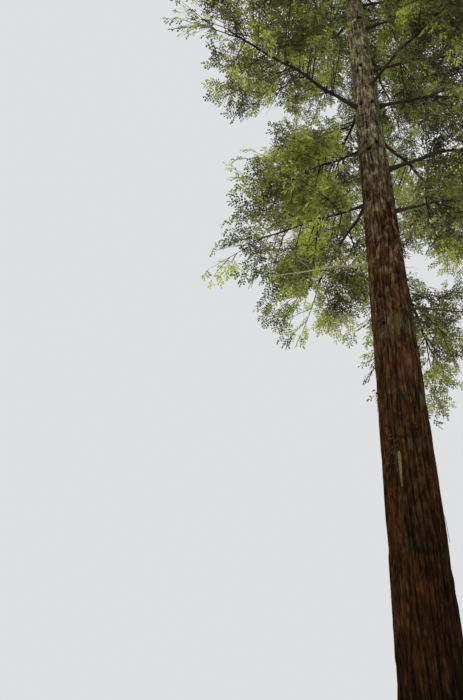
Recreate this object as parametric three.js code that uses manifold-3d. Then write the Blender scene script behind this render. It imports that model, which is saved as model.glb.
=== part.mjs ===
// A forest-grown coast redwood, whole: a fluted trunk that tapers from a flat cut at ground level to its
// tip, tapering boughs, and flat masses of needle sprays that each keep to a space of their own.
// Millimetres, +Z up. The origin is the centre of the cut, and -Y is the side that the tree is seen from.
// Angles round the trunk are in degrees from +X towards +Y.

import * as THREE from "three";
import { mergeVertices } from "three/addons/utils/BufferGeometryUtils.js";
import Module from "manifold-3d";

const wasm = await Module();
wasm.setup();

const METRE = 1000;
const FULL_TURN = 2 * Math.PI;
const UP = new THREE.Vector3(0, 0, 1);

// Trunk
const TREE_HEIGHT = 40 * METRE;
const STEM_RADIUS = 570; // at the ground, of the straight cone that the stem follows
const TIP_RADIUS = 12;
const BUTT_SWELL = 110; // how far the butt stands out of that cone at the ground
const BUTT_HEIGHT = 2 * METRE; // over which the swell fades
const ROOT_FLARE = 290; // mean reach of the root spurs at the ground
const FLARE_HEIGHT = 520;
const ROOT_SPURS = 7;
const SPUR_DEPTH = 0.45; // of the flare, from spur to hollow
const STEM_SWEEP = 220; // how far the stem drifts towards +X on its way up
const SWEEP_HEIGHT = 8 * METRE;
const TRUNK_SIDES = 28;
const TRUNK_RINGS = 22;
const RING_CROWDING = 1.9; // above 1, the rings crowd towards the ground

// Limbs, in metres and degrees: each row is height, direction, reach, and rise per unit of reach, and for a
// bough the share from the trunk to where its foliage begins
const BARE_LIMBS = [
  [10.85, 352, 1.7, 0],
  [11.35, 156, 1.2, -0.28],
  [12.25, 173, 2.6, 0],
];
const LOWER_LIMBS = [
  [12.7, 62, 3.9, -0.06, 0.32],
  [13.7, 345, 3.8, 0.05, 0.26],
  [14.2, 164, 3.4, -0.1, 0.24],
  [14.8, 108, 4.2, 0.02, 0.2],
  [15.1, 342, 4.6, 0.12, 0.26],
  [16.2, 157, 3.2, -0.04, 0.22],
  [16.6, 42, 4.5, 0.08, 0.22],
  [17.6, 211, 4.8, 0.1, 0.2],
  [17.7, 353, 4.6, 0.14, 0.24],
  [18.4, 303, 4.2, 0.08, 0.32],
  [18.7, 100, 4.4, 0.08, 0.2],
  [19.3, 347, 4.3, 0.1, 0.22],
  [20.4, 188, 4.2, 0.1, 0.22],
  [21.2, 60, 4.0, 0.1, 0.2],
  [21.4, 343, 4.0, 0.14, 0.22],
  [22.4, 128, 3.9, 0.14, 0.2],
  [22.8, 356, 3.9, 0.2, 0.22],
];
const UPPER_LIMBS = 22; // green from the trunk out, in a spiral up to the tip
const FIRST_UPPER_LIMB = 23.4 * METRE;
const LAST_UPPER_LIMB = 39.2 * METRE;
const UPPER_CROWDING = 0.25; // above 0, the limbs crowd towards the tip
const SPIRAL_START = 270;
const SPIRAL_STEP = 137.5;
const LOWEST_UPPER_RISE = 0.16;
const UPPER_RISE_GAIN = 0.9; // the limbs turn up towards the tip
const CROWN_REACH = 4.6 * METRE; // where the crown is widest
const CROWN_WIDEST = 17 * METRE; // height of that
const CROWN_TAPER = 0.62;
const LIMB_GIRTH = 0.011; // radius at the trunk, as a share of the reach
const LIMB_TIP_GIRTH = 0.3; // of the radius at the trunk
const LIMB_SAG = 0.12; // how far the end drops, as a share of the reach
const LIMB_SWING = 0.07; // sideways bend, as a share of the reach
const BOUGH_SIDES = 6;
const BOUGH_SEGMENTS = 4;

// Foliage: shares are of the limb's reach where nothing else is said, and angles are in degrees
const STEM_END = 0.86;
const STEM_SIDES = 4;
const STEM_SEGMENTS = 2;
const TWIGS = { bough: 5, upper: 6 }; // on the stem, to either side by turns
const FIRST_TWIG = 0.06; // from the foot of the mass
const LAST_TWIG = 0.08; // before the stem's end
const TWIG_REACH = 0.24; // at the shoulder of the mass
const TWIG_SHORTENING = 0.45; // of that, towards the tip
const TWIG_GIRTH = 0.7; // of the stem's
const TWIG_TAPER = 0.55;
const TWIG_ANGLE = 58; // between stem and twig, at the shoulder
const TWIG_CLOSING = 14; // how much that angle closes towards the tip
const FLANK_PLACE = 0.5; // of the twig, where the spray on its flank grows
const FLANK_ANGLE = 42; // between twig and flanking spray
const TIP_SHOOT = 0.06; // before the stem's end
const TIP_TWIG = 0.1;
// Slopes down from the stem's, each between two bounds
const TWIG_SLOPES = [
  [-34, -10],
  [26, 48],
  [-24, 0],
  [34, 58],
  [0, 26],
  [-20, 6],
];
const FLANK_SLOPES = [
  [30, 66],
  [-50, -14],
];
const STEM_SPRAY_SLOPES = [
  [44, 76],
  [-62, -30],
];
const TIP_SLOPES = [-4, 24];
const HEADING_SPREAD = 12;
const SPRAY_ROLL = 45;
const SPRAY_REACH = 0.39;
const SPRAY_SHORTENING = 0.12; // of that, towards the tip
const FLANK_SPRAY = 0.8; // size beside a spray at a twig's end
const STEM_SPRAY = 0.85;
const SHORTEST_SPRAY = 0.75 * METRE;
const LONGEST_SPRAY = 1.8 * METRE;
const SPRAY_EDGE = [
  [0.32, 0.34],
  [0.46, 0.18],
  [0.68, 0.25],
]; // tooth, notch and tooth from root to tip, for a spray one unit long
const SPRAY_HUB = 0.12; // where the blade is thickest
const SPRAY_THICKNESS = 0.024;
const ATTEMPTS = 6; // headings to try before a shoot is left out
const RETRY_SHRINK = 0.05;
const HEART = 0.72; // of the limb: the point that its mass's space lies round
const SPACE_GAP = 40; // between two masses' spaces

const SEATING_GAP = 0.3;
const SMALLEST_EDGE = 1;
const SEED = 20171;

// The same draws each time: a linear congruential generator, one for each limb.
function drawsFrom(seed) {
  let state = seed >>> 0;
  return () => {
    state = (Math.imul(state, 1664525) + 1013904223) >>> 0;
    return state / 4294967296;
  };
}

const between = (draw, low, high) => low + (high - low) * draw();
const radians = THREE.MathUtils.degToRad;

// Solids

// A geometry's closed surface as a solid.
function solidOf(geometry) {
  const bare = new THREE.BufferGeometry();
  bare.setAttribute("position", geometry.getAttribute("position"));
  bare.setIndex(geometry.getIndex());
  const merged = mergeVertices(bare);
  return new wasm.Manifold(
    new wasm.Mesh({
      numProp: 3,
      vertProperties: merged.getAttribute("position").array,
      triVerts: new Uint32Array(merged.getIndex().array),
    }),
  );
}

function geometryOf(solid) {
  const { vertProperties, triVerts } = solid.getMesh();
  const geometry = new THREE.BufferGeometry();
  geometry.setAttribute("position", new THREE.BufferAttribute(vertProperties, 3));
  geometry.setIndex(new THREE.BufferAttribute(triVerts, 1));
  geometry.computeVertexNormals();
  return geometry;
}

// A closed skin over a row of rings that each have the same number of points.
function skin(rings) {
  const sides = rings[0].length;
  const index = [];
  for (let ring = 1; ring < rings.length; ring++) {
    for (let side = 0; side < sides; side++) {
      const low = (ring - 1) * sides;
      const high = ring * sides;
      const next = (side + 1) % sides;
      index.push(low + side, low + next, high + next);
      index.push(low + side, high + next, high + side);
    }
  }
  const last = (rings.length - 1) * sides;
  for (let side = 2; side < sides; side++) {
    index.push(0, side, side - 1);
    index.push(last, last + side - 1, last + side);
  }
  return new THREE.BufferGeometry().setFromPoints(rings.flat()).setIndex(index);
}

// A ring of points round a centre, square to a direction.
function ringRound(centre, direction, radius, sides) {
  const across = UP.clone().cross(direction).normalize();
  const above = direction.clone().cross(across);
  return Array.from({ length: sides }, (_, side) => {
    const angle = (side / sides) * FULL_TURN;
    return centre
      .clone()
      .addScaledVector(across, Math.cos(angle) * radius)
      .addScaledVector(above, Math.sin(angle) * radius);
  });
}

// A tapering limb along a stretch of a curve.
function limbAlong(curve, from, to, radiusAt, sides, segments) {
  const rings = [];
  for (let ring = 0; ring <= segments; ring++) {
    const t = from + ((to - from) * ring) / segments;
    rings.push(ringRound(curve.getPoint(t), curve.getTangent(t), radiusAt(t), sides));
  }
  return solidOf(skin(rings));
}

// A solid without the loose scraps that fusing can leave.
function largestBody(solid) {
  return solid.decompose().sort((a, b) => b.volume() - a.volume())[0];
}

// Trunk

const stemDrift = (height) => STEM_SWEEP * (1 - Math.exp(-height / SWEEP_HEIGHT));

function trunkRadius(height, angle) {
  const cone = TIP_RADIUS + (STEM_RADIUS - TIP_RADIUS) * (1 - height / TREE_HEIGHT);
  const swell = BUTT_SWELL * Math.exp(-height / BUTT_HEIGHT);
  const spurs = 1 + SPUR_DEPTH * Math.cos(ROOT_SPURS * angle + Math.sin(2 * angle));
  return cone + swell + ROOT_FLARE * Math.exp(-height / FLARE_HEIGHT) * spurs;
}

// The trunk, with its skin moved out by the given growth.
function trunkSolid(growth) {
  const geometry = new THREE.CylinderGeometry(1, 1, 1, TRUNK_SIDES, TRUNK_RINGS);
  geometry.rotateX(Math.PI / 2);
  const position = geometry.getAttribute("position");
  for (let i = 0; i < position.count; i++) {
    const share = THREE.MathUtils.clamp(position.getZ(i) + 0.5, 0, 1);
    const height = TREE_HEIGHT * share ** RING_CROWDING;
    const angle = Math.atan2(position.getY(i), position.getX(i));
    const outward = Math.hypot(position.getX(i), position.getY(i));
    const radius = outward * (trunkRadius(height, angle) + growth);
    const x = stemDrift(height) + Math.cos(angle) * radius;
    position.setXYZ(i, x, Math.sin(angle) * radius, height);
  }
  return solidOf(geometry);
}

// Limbs

function crownReach(height) {
  const share = (height - CROWN_WIDEST) / (TREE_HEIGHT - CROWN_WIDEST);
  return CROWN_REACH * (1 - share) ** CROWN_TAPER;
}

// A limb in its own frame: it leaves the trunk's middle along +X, sags along its length and bends aside.
function makeLimb(kind, name, number, height, direction, reach, rise, bare) {
  const draw = drawsFrom(SEED + number);
  const swing = between(draw, -LIMB_SWING, LIMB_SWING) * reach;
  const group = new THREE.Group();
  group.position.set(stemDrift(height), 0, height);
  group.rotation.z = radians(direction);
  group.updateMatrixWorld(true);
  const curve = new THREE.QuadraticBezierCurve3(
    new THREE.Vector3(0, 0, 0),
    new THREE.Vector3(reach / 2, swing, (rise * reach) / 2),
    new THREE.Vector3(reach, 0, (rise - LIMB_SAG) * reach),
  );
  const girth = LIMB_GIRTH * reach;
  const radiusAt = (t) => girth * (1 - (1 - LIMB_TIP_GIRTH) * t);
  const heart = curve.getPoint(HEART).applyMatrix4(group.matrixWorld);
  return { kind, name, height, reach, bare, curve, radiusAt, heart, group, draw };
}

function makeLimbs() {
  const rows = [];
  for (const [height, direction, reach, rise] of BARE_LIMBS) {
    rows.push(["dead_limb", height * METRE, direction, reach * METRE, rise, 1]);
  }
  for (const [height, direction, reach, rise, bare] of LOWER_LIMBS) {
    rows.push(["bough", height * METRE, direction, reach * METRE, rise, bare]);
  }
  for (let step = 0; step < UPPER_LIMBS; step++) {
    const share = step / (UPPER_LIMBS - 1);
    const climb = share + UPPER_CROWDING * share * (1 - share);
    const height = THREE.MathUtils.lerp(FIRST_UPPER_LIMB, LAST_UPPER_LIMB, climb);
    const direction = (SPIRAL_START + step * SPIRAL_STEP) % 360;
    const rise = LOWEST_UPPER_RISE + UPPER_RISE_GAIN * share ** 2;
    rows.push(["upper", height, direction, crownReach(height), rise, 0]);
  }
  const counts = { dead_limb: 0, bough: 0, upper: 0 };
  return rows.map(([kind, ...sizes], number) => {
    counts[kind] += 1;
    const name = `${kind}_${String(counts[kind]).padStart(2, "0")}`;
    return makeLimb(kind, name, number, ...sizes);
  });
}

// A solid in the limb's frame, cut clear of the trunk.
function clearOfTrunk(solid, limb, trunkGrown) {
  const { position, rotation } = limb.group;
  const turn = THREE.MathUtils.radToDeg(rotation.z);
  const trunk = trunkGrown.translate([-position.x, 0, -position.z]).rotate([0, 0, -turn]);
  return solid.subtract(trunk);
}

function makeBough(limb, trunkGrown) {
  const whole = limbAlong(limb.curve, 0, limb.bare, limb.radiusAt, BOUGH_SIDES, BOUGH_SEGMENTS);
  return clearOfTrunk(whole, limb, trunkGrown);
}

// Where a limb's stem starts, as a share of the limb: an upper one in the trunk's middle, to be cut there.
const stemStart = ({ bare, curve }) => (bare === 0 ? 0 : bare + SEATING_GAP / curve.getLength());

// A point in the middle of a limb's stem, whose segments are straight.
function stemPoint(limb, t) {
  const start = stemStart(limb);
  const length = (STEM_END - start) / STEM_SEGMENTS;
  const segment = Math.min(Math.floor((t - start) / length), STEM_SEGMENTS - 1);
  const low = start + segment * length;
  return limb.curve.getPoint(low).lerp(limb.curve.getPoint(low + length), (t - low) / length);
}

// The stem of a limb's mass, which goes on from its bough's tip, or starts at the trunk.
function makeStem(limb, trunkGrown) {
  const { kind, curve, radiusAt } = limb;
  const whole = limbAlong(curve, stemStart(limb), STEM_END, radiusAt, STEM_SIDES, STEM_SEGMENTS);
  return kind === "upper" ? clearOfTrunk(whole, limb, trunkGrown) : whole;
}

// Foliage

// The planes that shut a limb's mass in: halfway to the heart of each other mass, one across the stem's
// foot and one at the tree's height. Inside is in front of them all, so the space is convex.
function spaceOf(limb, limbs, foot) {
  const toLimb = limb.group.matrixWorld.clone().invert();
  const heart = limb.heart.clone().applyMatrix4(toLimb);
  const planes = limbs
    .filter((other) => other !== limb && other.kind !== "dead_limb")
    .map((other) => {
      const there = other.heart.clone().applyMatrix4(toLimb);
      const middle = heart.clone().lerp(there, 0.5);
      const normal = heart.clone().sub(there).normalize();
      const plane = new THREE.Plane().setFromNormalAndCoplanarPoint(normal, middle);
      plane.constant -= SPACE_GAP / 2;
      return plane;
    });
  planes.push(new THREE.Plane(new THREE.Vector3(1, 0, 0), -foot));
  planes.push(new THREE.Plane(UP.clone().negate(), TREE_HEIGHT - limb.height));
  return planes;
}

function isInside(solid, planes) {
  const { vertProperties } = solid.getMesh();
  const point = new THREE.Vector3();
  for (let i = 0; i < vertProperties.length; i += 3) {
    point.fromArray(vertProperties, i);
    if (planes.some((plane) => plane.distanceToPoint(point) < 0)) return false;
  }
  return true;
}

// A twig that opens at its end into a spray of needles, a toothed blade in the plane of twig and across.
// Without a twig the blade grows from a point.
function shootSolid(foot, direction, across, twig, girth, blade) {
  const along = direction.clone().normalize();
  const face = along.clone().cross(across).normalize();
  const side = face.clone().cross(along);
  const at = (x, y, z) =>
    foot.clone().addScaledVector(along, x).addScaledVector(side, y).addScaledVector(face, z);
  const square = (x, radius) => [
    at(x, -radius, 0),
    at(x, 0, -radius),
    at(x, radius, 0),
    at(x, 0, radius),
  ];
  const edge = (sign) => SPRAY_EDGE.map(([x, y]) => at(twig + x * blade, sign * y * blade, 0));
  const rim = [...edge(-1), at(twig + blade, 0, 0), ...edge(1).reverse()];
  const half = (SPRAY_THICKNESS * blade) / 2;
  const hubs = [half, -half].map((z) => at(twig + SPRAY_HUB * blade, 0, z));
  const necks = twig > 0 ? [...square(0, girth), ...square(twig, girth * TWIG_TAPER)] : [foot];
  const index = [];
  if (twig > 0) {
    index.push(0, 2, 1, 0, 3, 2);
    for (let corner = 0; corner < 4; corner++) {
      const next = (corner + 1) % 4;
      index.push(corner, next, 4 + next, corner, 4 + next, 4 + corner);
    }
  }
  const round = rim.map((_, i) => necks.length + i);
  const above = twig > 0 ? [7, 4, ...round, 6] : [0, ...round];
  const below = twig > 0 ? [5, 4, ...round, 6] : [0, ...round];
  const hub = necks.length + rim.length;
  above.forEach((point, i) => index.push(hub, point, above[(i + 1) % above.length]));
  below.forEach((point, i) => index.push(hub + 1, below[(i + 1) % below.length], point));
  const points = [...necks, ...rim, ...hubs];
  return solidOf(new THREE.BufferGeometry().setFromPoints(points).setIndex(index));
}

// Turns a direction sideways about the vertical and then down by a slope, in degrees.
function turned(direction, sideways, down) {
  const flat = direction.clone().applyAxisAngle(UP, radians(sideways));
  const across = UP.clone().cross(flat).normalize();
  return flat.applyAxisAngle(across, radians(down));
}

// Grows a mass on its stem: twigs to either side by turns, each open in a spray at its end and with one on
// its flank, a spray on the stem across from each twig, and one at its tip. Where a shoot would leave the
// space, or touch a limb or another spray, other headings are tried, and then it is left out.
function makeMass(limb, limbs, wood) {
  const { kind, curve, draw, radiusAt, reach, group, height } = limb;
  const footShare = Math.max(limb.bare, trunkRadius(height, 0) / reach);
  const planes = spaceOf(limb, limbs, footShare * reach + SPACE_GAP);
  const toLimb = group.matrixWorld.clone().invert().elements;
  const obstacles = wood.filter((piece) => piece !== limb.stem).map((piece) => piece.transform(toLimb));
  const shoots = [];

  const touches = (solid, others) => others.some((other) => !other.intersect(solid).isEmpty());
  const hasRoom = (solid) =>
    isInside(solid, planes) && !touches(solid, obstacles) && !touches(solid, shoots);
  const fullSpray = THREE.MathUtils.clamp(SPRAY_REACH * reach, SHORTEST_SPRAY, LONGEST_SPRAY);

  // Adds a shoot where there is room, and returns the place for a spray on its flank.
  const grow = ({ at, heading, sideways, slopes, twig = 0, girth = 0, size }) => {
    for (let attempt = 0; attempt < ATTEMPTS; attempt++) {
      const spread = between(draw, -HEADING_SPREAD, HEADING_SPREAD);
      const direction = turned(heading, sideways + spread, between(draw, ...slopes));
      const roll = radians(between(draw, -SPRAY_ROLL, SPRAY_ROLL));
      const across = UP.clone().cross(direction).applyAxisAngle(direction, roll);
      const scale = 1 - RETRY_SHRINK * attempt;
      const shoot = shootSolid(at, direction, across, twig * scale, girth, fullSpray * size * scale);
      if (!hasRoom(shoot)) continue;
      shoots.push(shoot);
      return at.clone().addScaledVector(direction, twig * scale * FLANK_PLACE);
    }
    return null;
  };

  for (let number = 0; number < TWIGS[kind]; number++) {
    const share = number / (TWIGS[kind] - 1);
    const t = THREE.MathUtils.lerp(footShare + FIRST_TWIG, STEM_END - LAST_TWIG, share);
    const at = stemPoint(limb, t);
    const heading = curve.getTangent(t);
    const side = number % 2 === 0 ? 1 : -1;
    const sideways = side * (TWIG_ANGLE - TWIG_CLOSING * share);
    const twig = reach * TWIG_REACH * (1 - TWIG_SHORTENING * share);
    const girth = radiusAt(t) * TWIG_GIRTH;
    const slopes = TWIG_SLOPES[number];
    const flank = grow({ at, heading, sideways, slopes, twig, girth, size: 1 - SPRAY_SHORTENING * share });
    if (flank) {
      const outward = sideways + side * FLANK_ANGLE;
      grow({ at: flank, heading, sideways: outward, slopes: FLANK_SLOPES[number % 2], size: FLANK_SPRAY });
    }
    grow({ at, heading, sideways: -sideways, slopes: STEM_SPRAY_SLOPES[number % 2], size: STEM_SPRAY });
  }
  const last = STEM_END - TIP_SHOOT;
  grow({
    at: stemPoint(limb, last),
    heading: curve.getTangent(last),
    sideways: 0,
    slopes: TIP_SLOPES,
    twig: TIP_TWIG * reach,
    girth: radiusAt(last) * TWIG_GIRTH,
    size: 1,
  });
  const stem = limb.stem.transform(toLimb);
  return largestBody(wasm.Manifold.union([stem, ...shoots]).simplify(SMALLEST_EDGE));
}

// The tree

const trunkBark = new THREE.MeshStandardMaterial({ color: 0x5b3a26, roughness: 0.95, metalness: 0 });
const boughBark = new THREE.MeshStandardMaterial({ color: 0x6a5a48, roughness: 0.95, metalness: 0 });
const needles = new THREE.MeshStandardMaterial({ color: 0x4c5a24, roughness: 0.8, metalness: 0 });

function named(name, solid, material) {
  const mesh = new THREE.Mesh(geometryOf(solid), material);
  mesh.name = name;
  return mesh;
}

function makeTree() {
  const tree = new THREE.Group();
  tree.add(named("trunk", trunkSolid(0), trunkBark));
  const trunkGrown = trunkSolid(SEATING_GAP);
  const limbs = makeLimbs();
  const wood = [];
  for (const limb of limbs) {
    const { kind, name, group } = limb;
    tree.add(group);
    if (kind !== "upper") {
      const bough = makeBough(limb, trunkGrown);
      group.add(named(name, bough, boughBark));
      wood.push(bough.transform(group.matrixWorld.elements));
    }
    if (kind !== "dead_limb") {
      limb.stem = makeStem(limb, trunkGrown).transform(group.matrixWorld.elements);
      wood.push(limb.stem);
    }
  }
  for (const limb of limbs) {
    if (limb.kind === "dead_limb") continue;
    limb.group.add(named(`${limb.name}_sprays`, makeMass(limb, limbs, wood), needles));
  }
  return tree;
}

export default makeTree();
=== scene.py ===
import math

import bpy
import numpy as np
from mathutils import Matrix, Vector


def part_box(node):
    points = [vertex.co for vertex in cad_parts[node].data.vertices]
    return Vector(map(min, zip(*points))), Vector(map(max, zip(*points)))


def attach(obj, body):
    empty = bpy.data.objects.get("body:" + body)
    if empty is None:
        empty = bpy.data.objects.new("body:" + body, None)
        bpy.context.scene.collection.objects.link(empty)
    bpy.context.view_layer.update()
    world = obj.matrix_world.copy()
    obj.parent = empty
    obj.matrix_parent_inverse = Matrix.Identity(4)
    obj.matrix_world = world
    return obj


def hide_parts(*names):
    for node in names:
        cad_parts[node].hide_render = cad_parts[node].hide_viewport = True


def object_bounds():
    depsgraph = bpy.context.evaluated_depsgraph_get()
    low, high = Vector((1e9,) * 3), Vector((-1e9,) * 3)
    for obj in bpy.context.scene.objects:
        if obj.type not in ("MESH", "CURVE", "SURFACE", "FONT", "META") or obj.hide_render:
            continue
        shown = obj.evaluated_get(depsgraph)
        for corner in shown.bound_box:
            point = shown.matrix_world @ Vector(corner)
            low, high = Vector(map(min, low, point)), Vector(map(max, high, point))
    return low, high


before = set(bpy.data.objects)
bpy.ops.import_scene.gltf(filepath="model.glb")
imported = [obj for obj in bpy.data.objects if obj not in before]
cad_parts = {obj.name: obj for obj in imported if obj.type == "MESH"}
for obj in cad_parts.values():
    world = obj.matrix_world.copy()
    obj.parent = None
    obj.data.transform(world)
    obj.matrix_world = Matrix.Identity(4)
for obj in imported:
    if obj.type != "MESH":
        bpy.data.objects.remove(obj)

# A forest-grown coast redwood: furrowed bark over a fluted trunk, level boughs, and flat sprays of needles.
# Metres, +Z up. The origin is the centre of the cut across the trunk's foot, and the tree is seen from -Y.
# The limbs and their foliage follow the solids' rule, carried on to finer twigs within the same spaces.

bl_info = {
    "name": "Coast redwood",
    "version": (1, 0, 0),
    "blender": (4, 5, 0),
    "location": "3D View > Sidebar > Redwood",
    "description": "Makes a coast redwood's bark, boughs, twigs and needle sprays over its solids",
    "category": "Object",
}

CAD_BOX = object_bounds()
UP = np.array([0.0, 0.0, 1.0])

# Trunk
TREE_HEIGHT = 40.0
STEM_RADIUS = 0.570
TIP_RADIUS = 0.012
BUTT_SWELL = 0.110
BUTT_HEIGHT = 2.0
ROOT_FLARE = 0.290
FLARE_HEIGHT = 0.520
ROOT_SPURS = 7
SPUR_DEPTH = 0.45
STEM_SWEEP = 0.220
SWEEP_HEIGHT = 8.0
BARK_SIDES = 256
BARK_ROWS = 230
LOWER_BARK_TOP = 14.0

# Relief of the bark: a ridge's share of it, the noise at which its flank ends, and the flank's power
WIDE_RIDGE = (0.62, 0.19, 0.7)
NARROW_RIDGE = (0.38, 0.20, 0.8)
NARROW_SPACING = 0.46
NARROW_LENGTH = 0.5
FULL_RELIEF_RADIUS = 0.62
MOST_RELIEF = 1.2

# Unevenness: how deep or strong it is, and the width and height over which it changes
BARK_WANDER = (0.025, 0.35, 0.8)
BARK_FRAY = (0.006, 0.024, 0.2)
BARK_SWELL = (0.014, 0.5, 2.8)
BOUGH_FLAKES = (1.0, 0.07, 0.07)
BOUGH_LUMPS = (0.8, 0.3, 0.3)
SPLINTERS = (0.05, 0.02, 0.02)
FOLIAGE_HOLES = (1.0, 0.55, 0.4125)
TINT_CLUMPS = (0.95, 0.7, 0.5)
TINT_DRIFT = (0.70, 2.1, 1.4)

# Knots on the trunk, each with its height, direction and size, and more where nothing is named
KNOTS = [
    (21.82, 279, 0.045),
    (21.22, 271, 0.04),
    (20.23, 291, 0.05),
    (19.33, 250, 0.06),
    (19.12, 229, 0.045),
    (19.53, 300, 0.04),
    (19.01, 302, 0.055),
    (18.82, 322, 0.05),
    (17.62, 230, 0.065),
    (17.65, 284, 0.06),
    (16.88, 274, 0.05),
    (15.70, 243, 0.07),
    (15.94, 276, 0.045),
    (12.95, 262, 0.05),
    (11.6, 286, 0.055),
    (11.0, 228, 0.055),
    (10.25, 231, 0.045),
]
SCATTERED_KNOTS = 46
KNOT_HEIGHTS = (9.5, 34.0)
KNOT_SIZES = (0.03, 0.06)
NAMED_KNOTS_SIDE = (205, 305)
NAMED_KNOTS_TOP = 24
KNOT_MOVE = 150
KNOT_STRETCH = 1.4
KNOT_EDGE = 14
KNOT_LIP, LIP_WIDTH = 0.42, 2.6
KNOT_HOLLOW, HOLLOW_FALL = 0.75, 2.4
SCAR_FALL = 1.3

# What the bark's own colour is multiplied by: painted shade in its furrows, pale fibre with painted highlight
# on its ridges, and its own tone on its chips and where it is pale
FURROW_SHADE = (0.31, 0.29, 0.27)
RIDGE_PALENESS_AND_HIGHLIGHT = (2.1, 2.05, 1.95)
DARK_CHIP, LIGHT_CHIP = (0.42, 0.40, 0.38), (1.75, 1.72, 1.66)
PALE_PATCH = (1.5, 1.45, 1.4)

# Strips of bark: height, direction, length, width, how far the end stands off, lean and curl in radians.
# The drawn ones have ranges of these, with the number, heights and directions of each group apart.
TORN_STRIP = (7.36, 237, 0.69, 0.054, 0.050, 0.0, 0.02)
SHRED_SIZES = [(0.05, 0.14), (0.010, 0.022), (0.010, 0.03), (-1.3, 1.3), (-1.6, 1.6)]
LOOSE_SIZES = [(0.15, 0.5), (0.014, 0.034), (0.006, 0.02), (-0.05, 0.05), (-0.16, 0.16)]
FRAYED_GROUPS = [(16, (7.1, 7.75), (206, 234)), (22, (9.95, 10.8), (208, 238))]
# These frayed ends take a darker copy of the frayed bark's colour: painted shade.
DARK_FRAYED_GROUPS = [(26, (10.3, 11.3), (212, 236))]
LOOSE_GROUPS = [(80, (1.0, 22.0), (0, 360))]
STRIP_TAPER = ([0, 0.1, 0.6, 1.0], [0.5, 1.0, 0.75, 0.12])
STRIP_GAP = 0.010

# Limbs: each row is height, direction in degrees, reach, and rise per unit of reach, and for a bough the
# share from the trunk to where its foliage begins
BARE_LIMBS = [
    (10.85, 352, 1.7, 0),
    (11.35, 156, 1.2, -0.28),
    (12.25, 173, 2.6, 0),
]
LOWER_LIMBS = [
    (12.7, 62, 3.9, -0.06, 0.32),
    (13.7, 345, 3.8, 0.05, 0.26),
    (14.2, 164, 3.4, -0.1, 0.24),
    (14.8, 108, 4.2, 0.02, 0.2),
    (15.1, 342, 4.6, 0.12, 0.26),
    (16.2, 157, 3.2, -0.04, 0.22),
    (16.6, 42, 4.5, 0.08, 0.22),
    (17.6, 211, 4.8, 0.1, 0.2),
    (17.7, 353, 4.6, 0.14, 0.24),
    (18.4, 303, 4.2, 0.08, 0.32),
    (18.7, 100, 4.4, 0.08, 0.2),
    (19.3, 347, 4.3, 0.1, 0.22),
    (20.4, 188, 4.2, 0.1, 0.22),
    (21.2, 60, 4.0, 0.1, 0.2),
    (21.4, 343, 4.0, 0.14, 0.22),
    (22.4, 128, 3.9, 0.14, 0.2),
    (22.8, 356, 3.9, 0.2, 0.22),
]
KINDS = ("dead_limb", "bough", "upper")
UPPER_LIMBS = 22
FIRST_UPPER_LIMB = 23.4
LAST_UPPER_LIMB = 39.2
UPPER_CROWDING = 0.25
SPIRAL_START = 270
SPIRAL_STEP = 137.5
LOWEST_UPPER_RISE = 0.16
UPPER_RISE_GAIN = 0.9
CROWN_REACH = 4.6
CROWN_WIDEST = 17.0
CROWN_TAPER = 0.62
LIMB_GIRTH = 0.011
LIMB_TIP_GIRTH = 0.3
LIMB_SAG = 0.12
LIMB_SWING = 0.07
# Bends aside and then up and down, each as a share of the reach and how often it turns
LIMB_CROOKS = [(0.007, 9), (0.004, 23), (0.006, 11), (0.003, 27)]
STOUT_LIMBS = {"dead_limb_01": 1.9, "dead_limb_02": 1.9}
DEAD_WOOD_END = 0.98
SPLINTERED_FROM = 0.97
COLLAR_LENGTH = 2.2

# Shoots, by the solids' rule: shares of the limb's reach where nothing else is said, angles in degrees
STEM_END = 0.86
LIVING_WOOD_END = STEM_END + 0.03
TWIGS = {"bough": 5, "upper": 6}
FIRST_TWIG = 0.06
LAST_TWIG = 0.08
TWIG_REACH = 0.24
TWIG_SHORTENING = 0.45
TWIG_ANGLE = 58
TWIG_CLOSING = 14
FLANK_PLACE = 0.5
FLANK_ANGLE = 42
TIP_SHOOT = 0.06
TIP_TWIG = 0.1
TWIG_SLOPES = [(-34, -10), (26, 48), (-24, 0), (34, 58), (0, 26), (-20, 6)]
FLANK_SLOPES = [(30, 66), (-50, -14)]
STEM_SPRAY_SLOPES = [(44, 76), (-62, -30)]
TIP_SLOPES = (-4, 24)
HEADING_SPREAD = 12
SPRAY_ROLL = 45
SPRAY_REACH = 0.39
SPRAY_SHORTENING = 0.12
FLANK_SPRAY = 0.8
STEM_SPRAY = 0.85
SHORTEST_SPRAY = 0.75
LONGEST_SPRAY = 1.8
SPRAY_EDGE = [(0.32, 0.34), (0.46, 0.18), (0.68, 0.25)]
ATTEMPTS = 6
RETRY_SHRINK = 0.05
HEART = 0.72
SPACE_GAP = 0.040
SEED = 20171

# Branchlets, their forks and those that fill what the shoots leave open
BRANCHLET_DROOP = (0.03, 0.10)
BRANCHLET_BEND = 0.05
FORK_PLACES = [0.22, 0.42, 0.62]
FORK_LENGTH = 0.62
FORK_ANGLES = (28, 52)
FORK_TILT = 0.75
FORK_ATTEMPTS = 4
FORK_SHRINK = 0.12
FORK_STALK, FORK_BLADE = 0.12, 0.88
FILLERS = {"bough": 36, "upper": 44}
FILL_WIDTH = {"bough": 0.58, "upper": 0.74}
FILL_DEPTH = {"bough": 0.21, "upper": 0.34}
FILL_LEAST_DEPTH = 0.42
FILL_ATTEMPTS = 6
FILL_SHORTEST = 0.2
FILL_SLANT = 0.62
FILL_END = 0.98
BRANCHLET_GIRTH, GIRTH_GAIN = 0.004, 0.0066
BACK_GROWTH = 0.12
OVERHANG = 0.22

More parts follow.
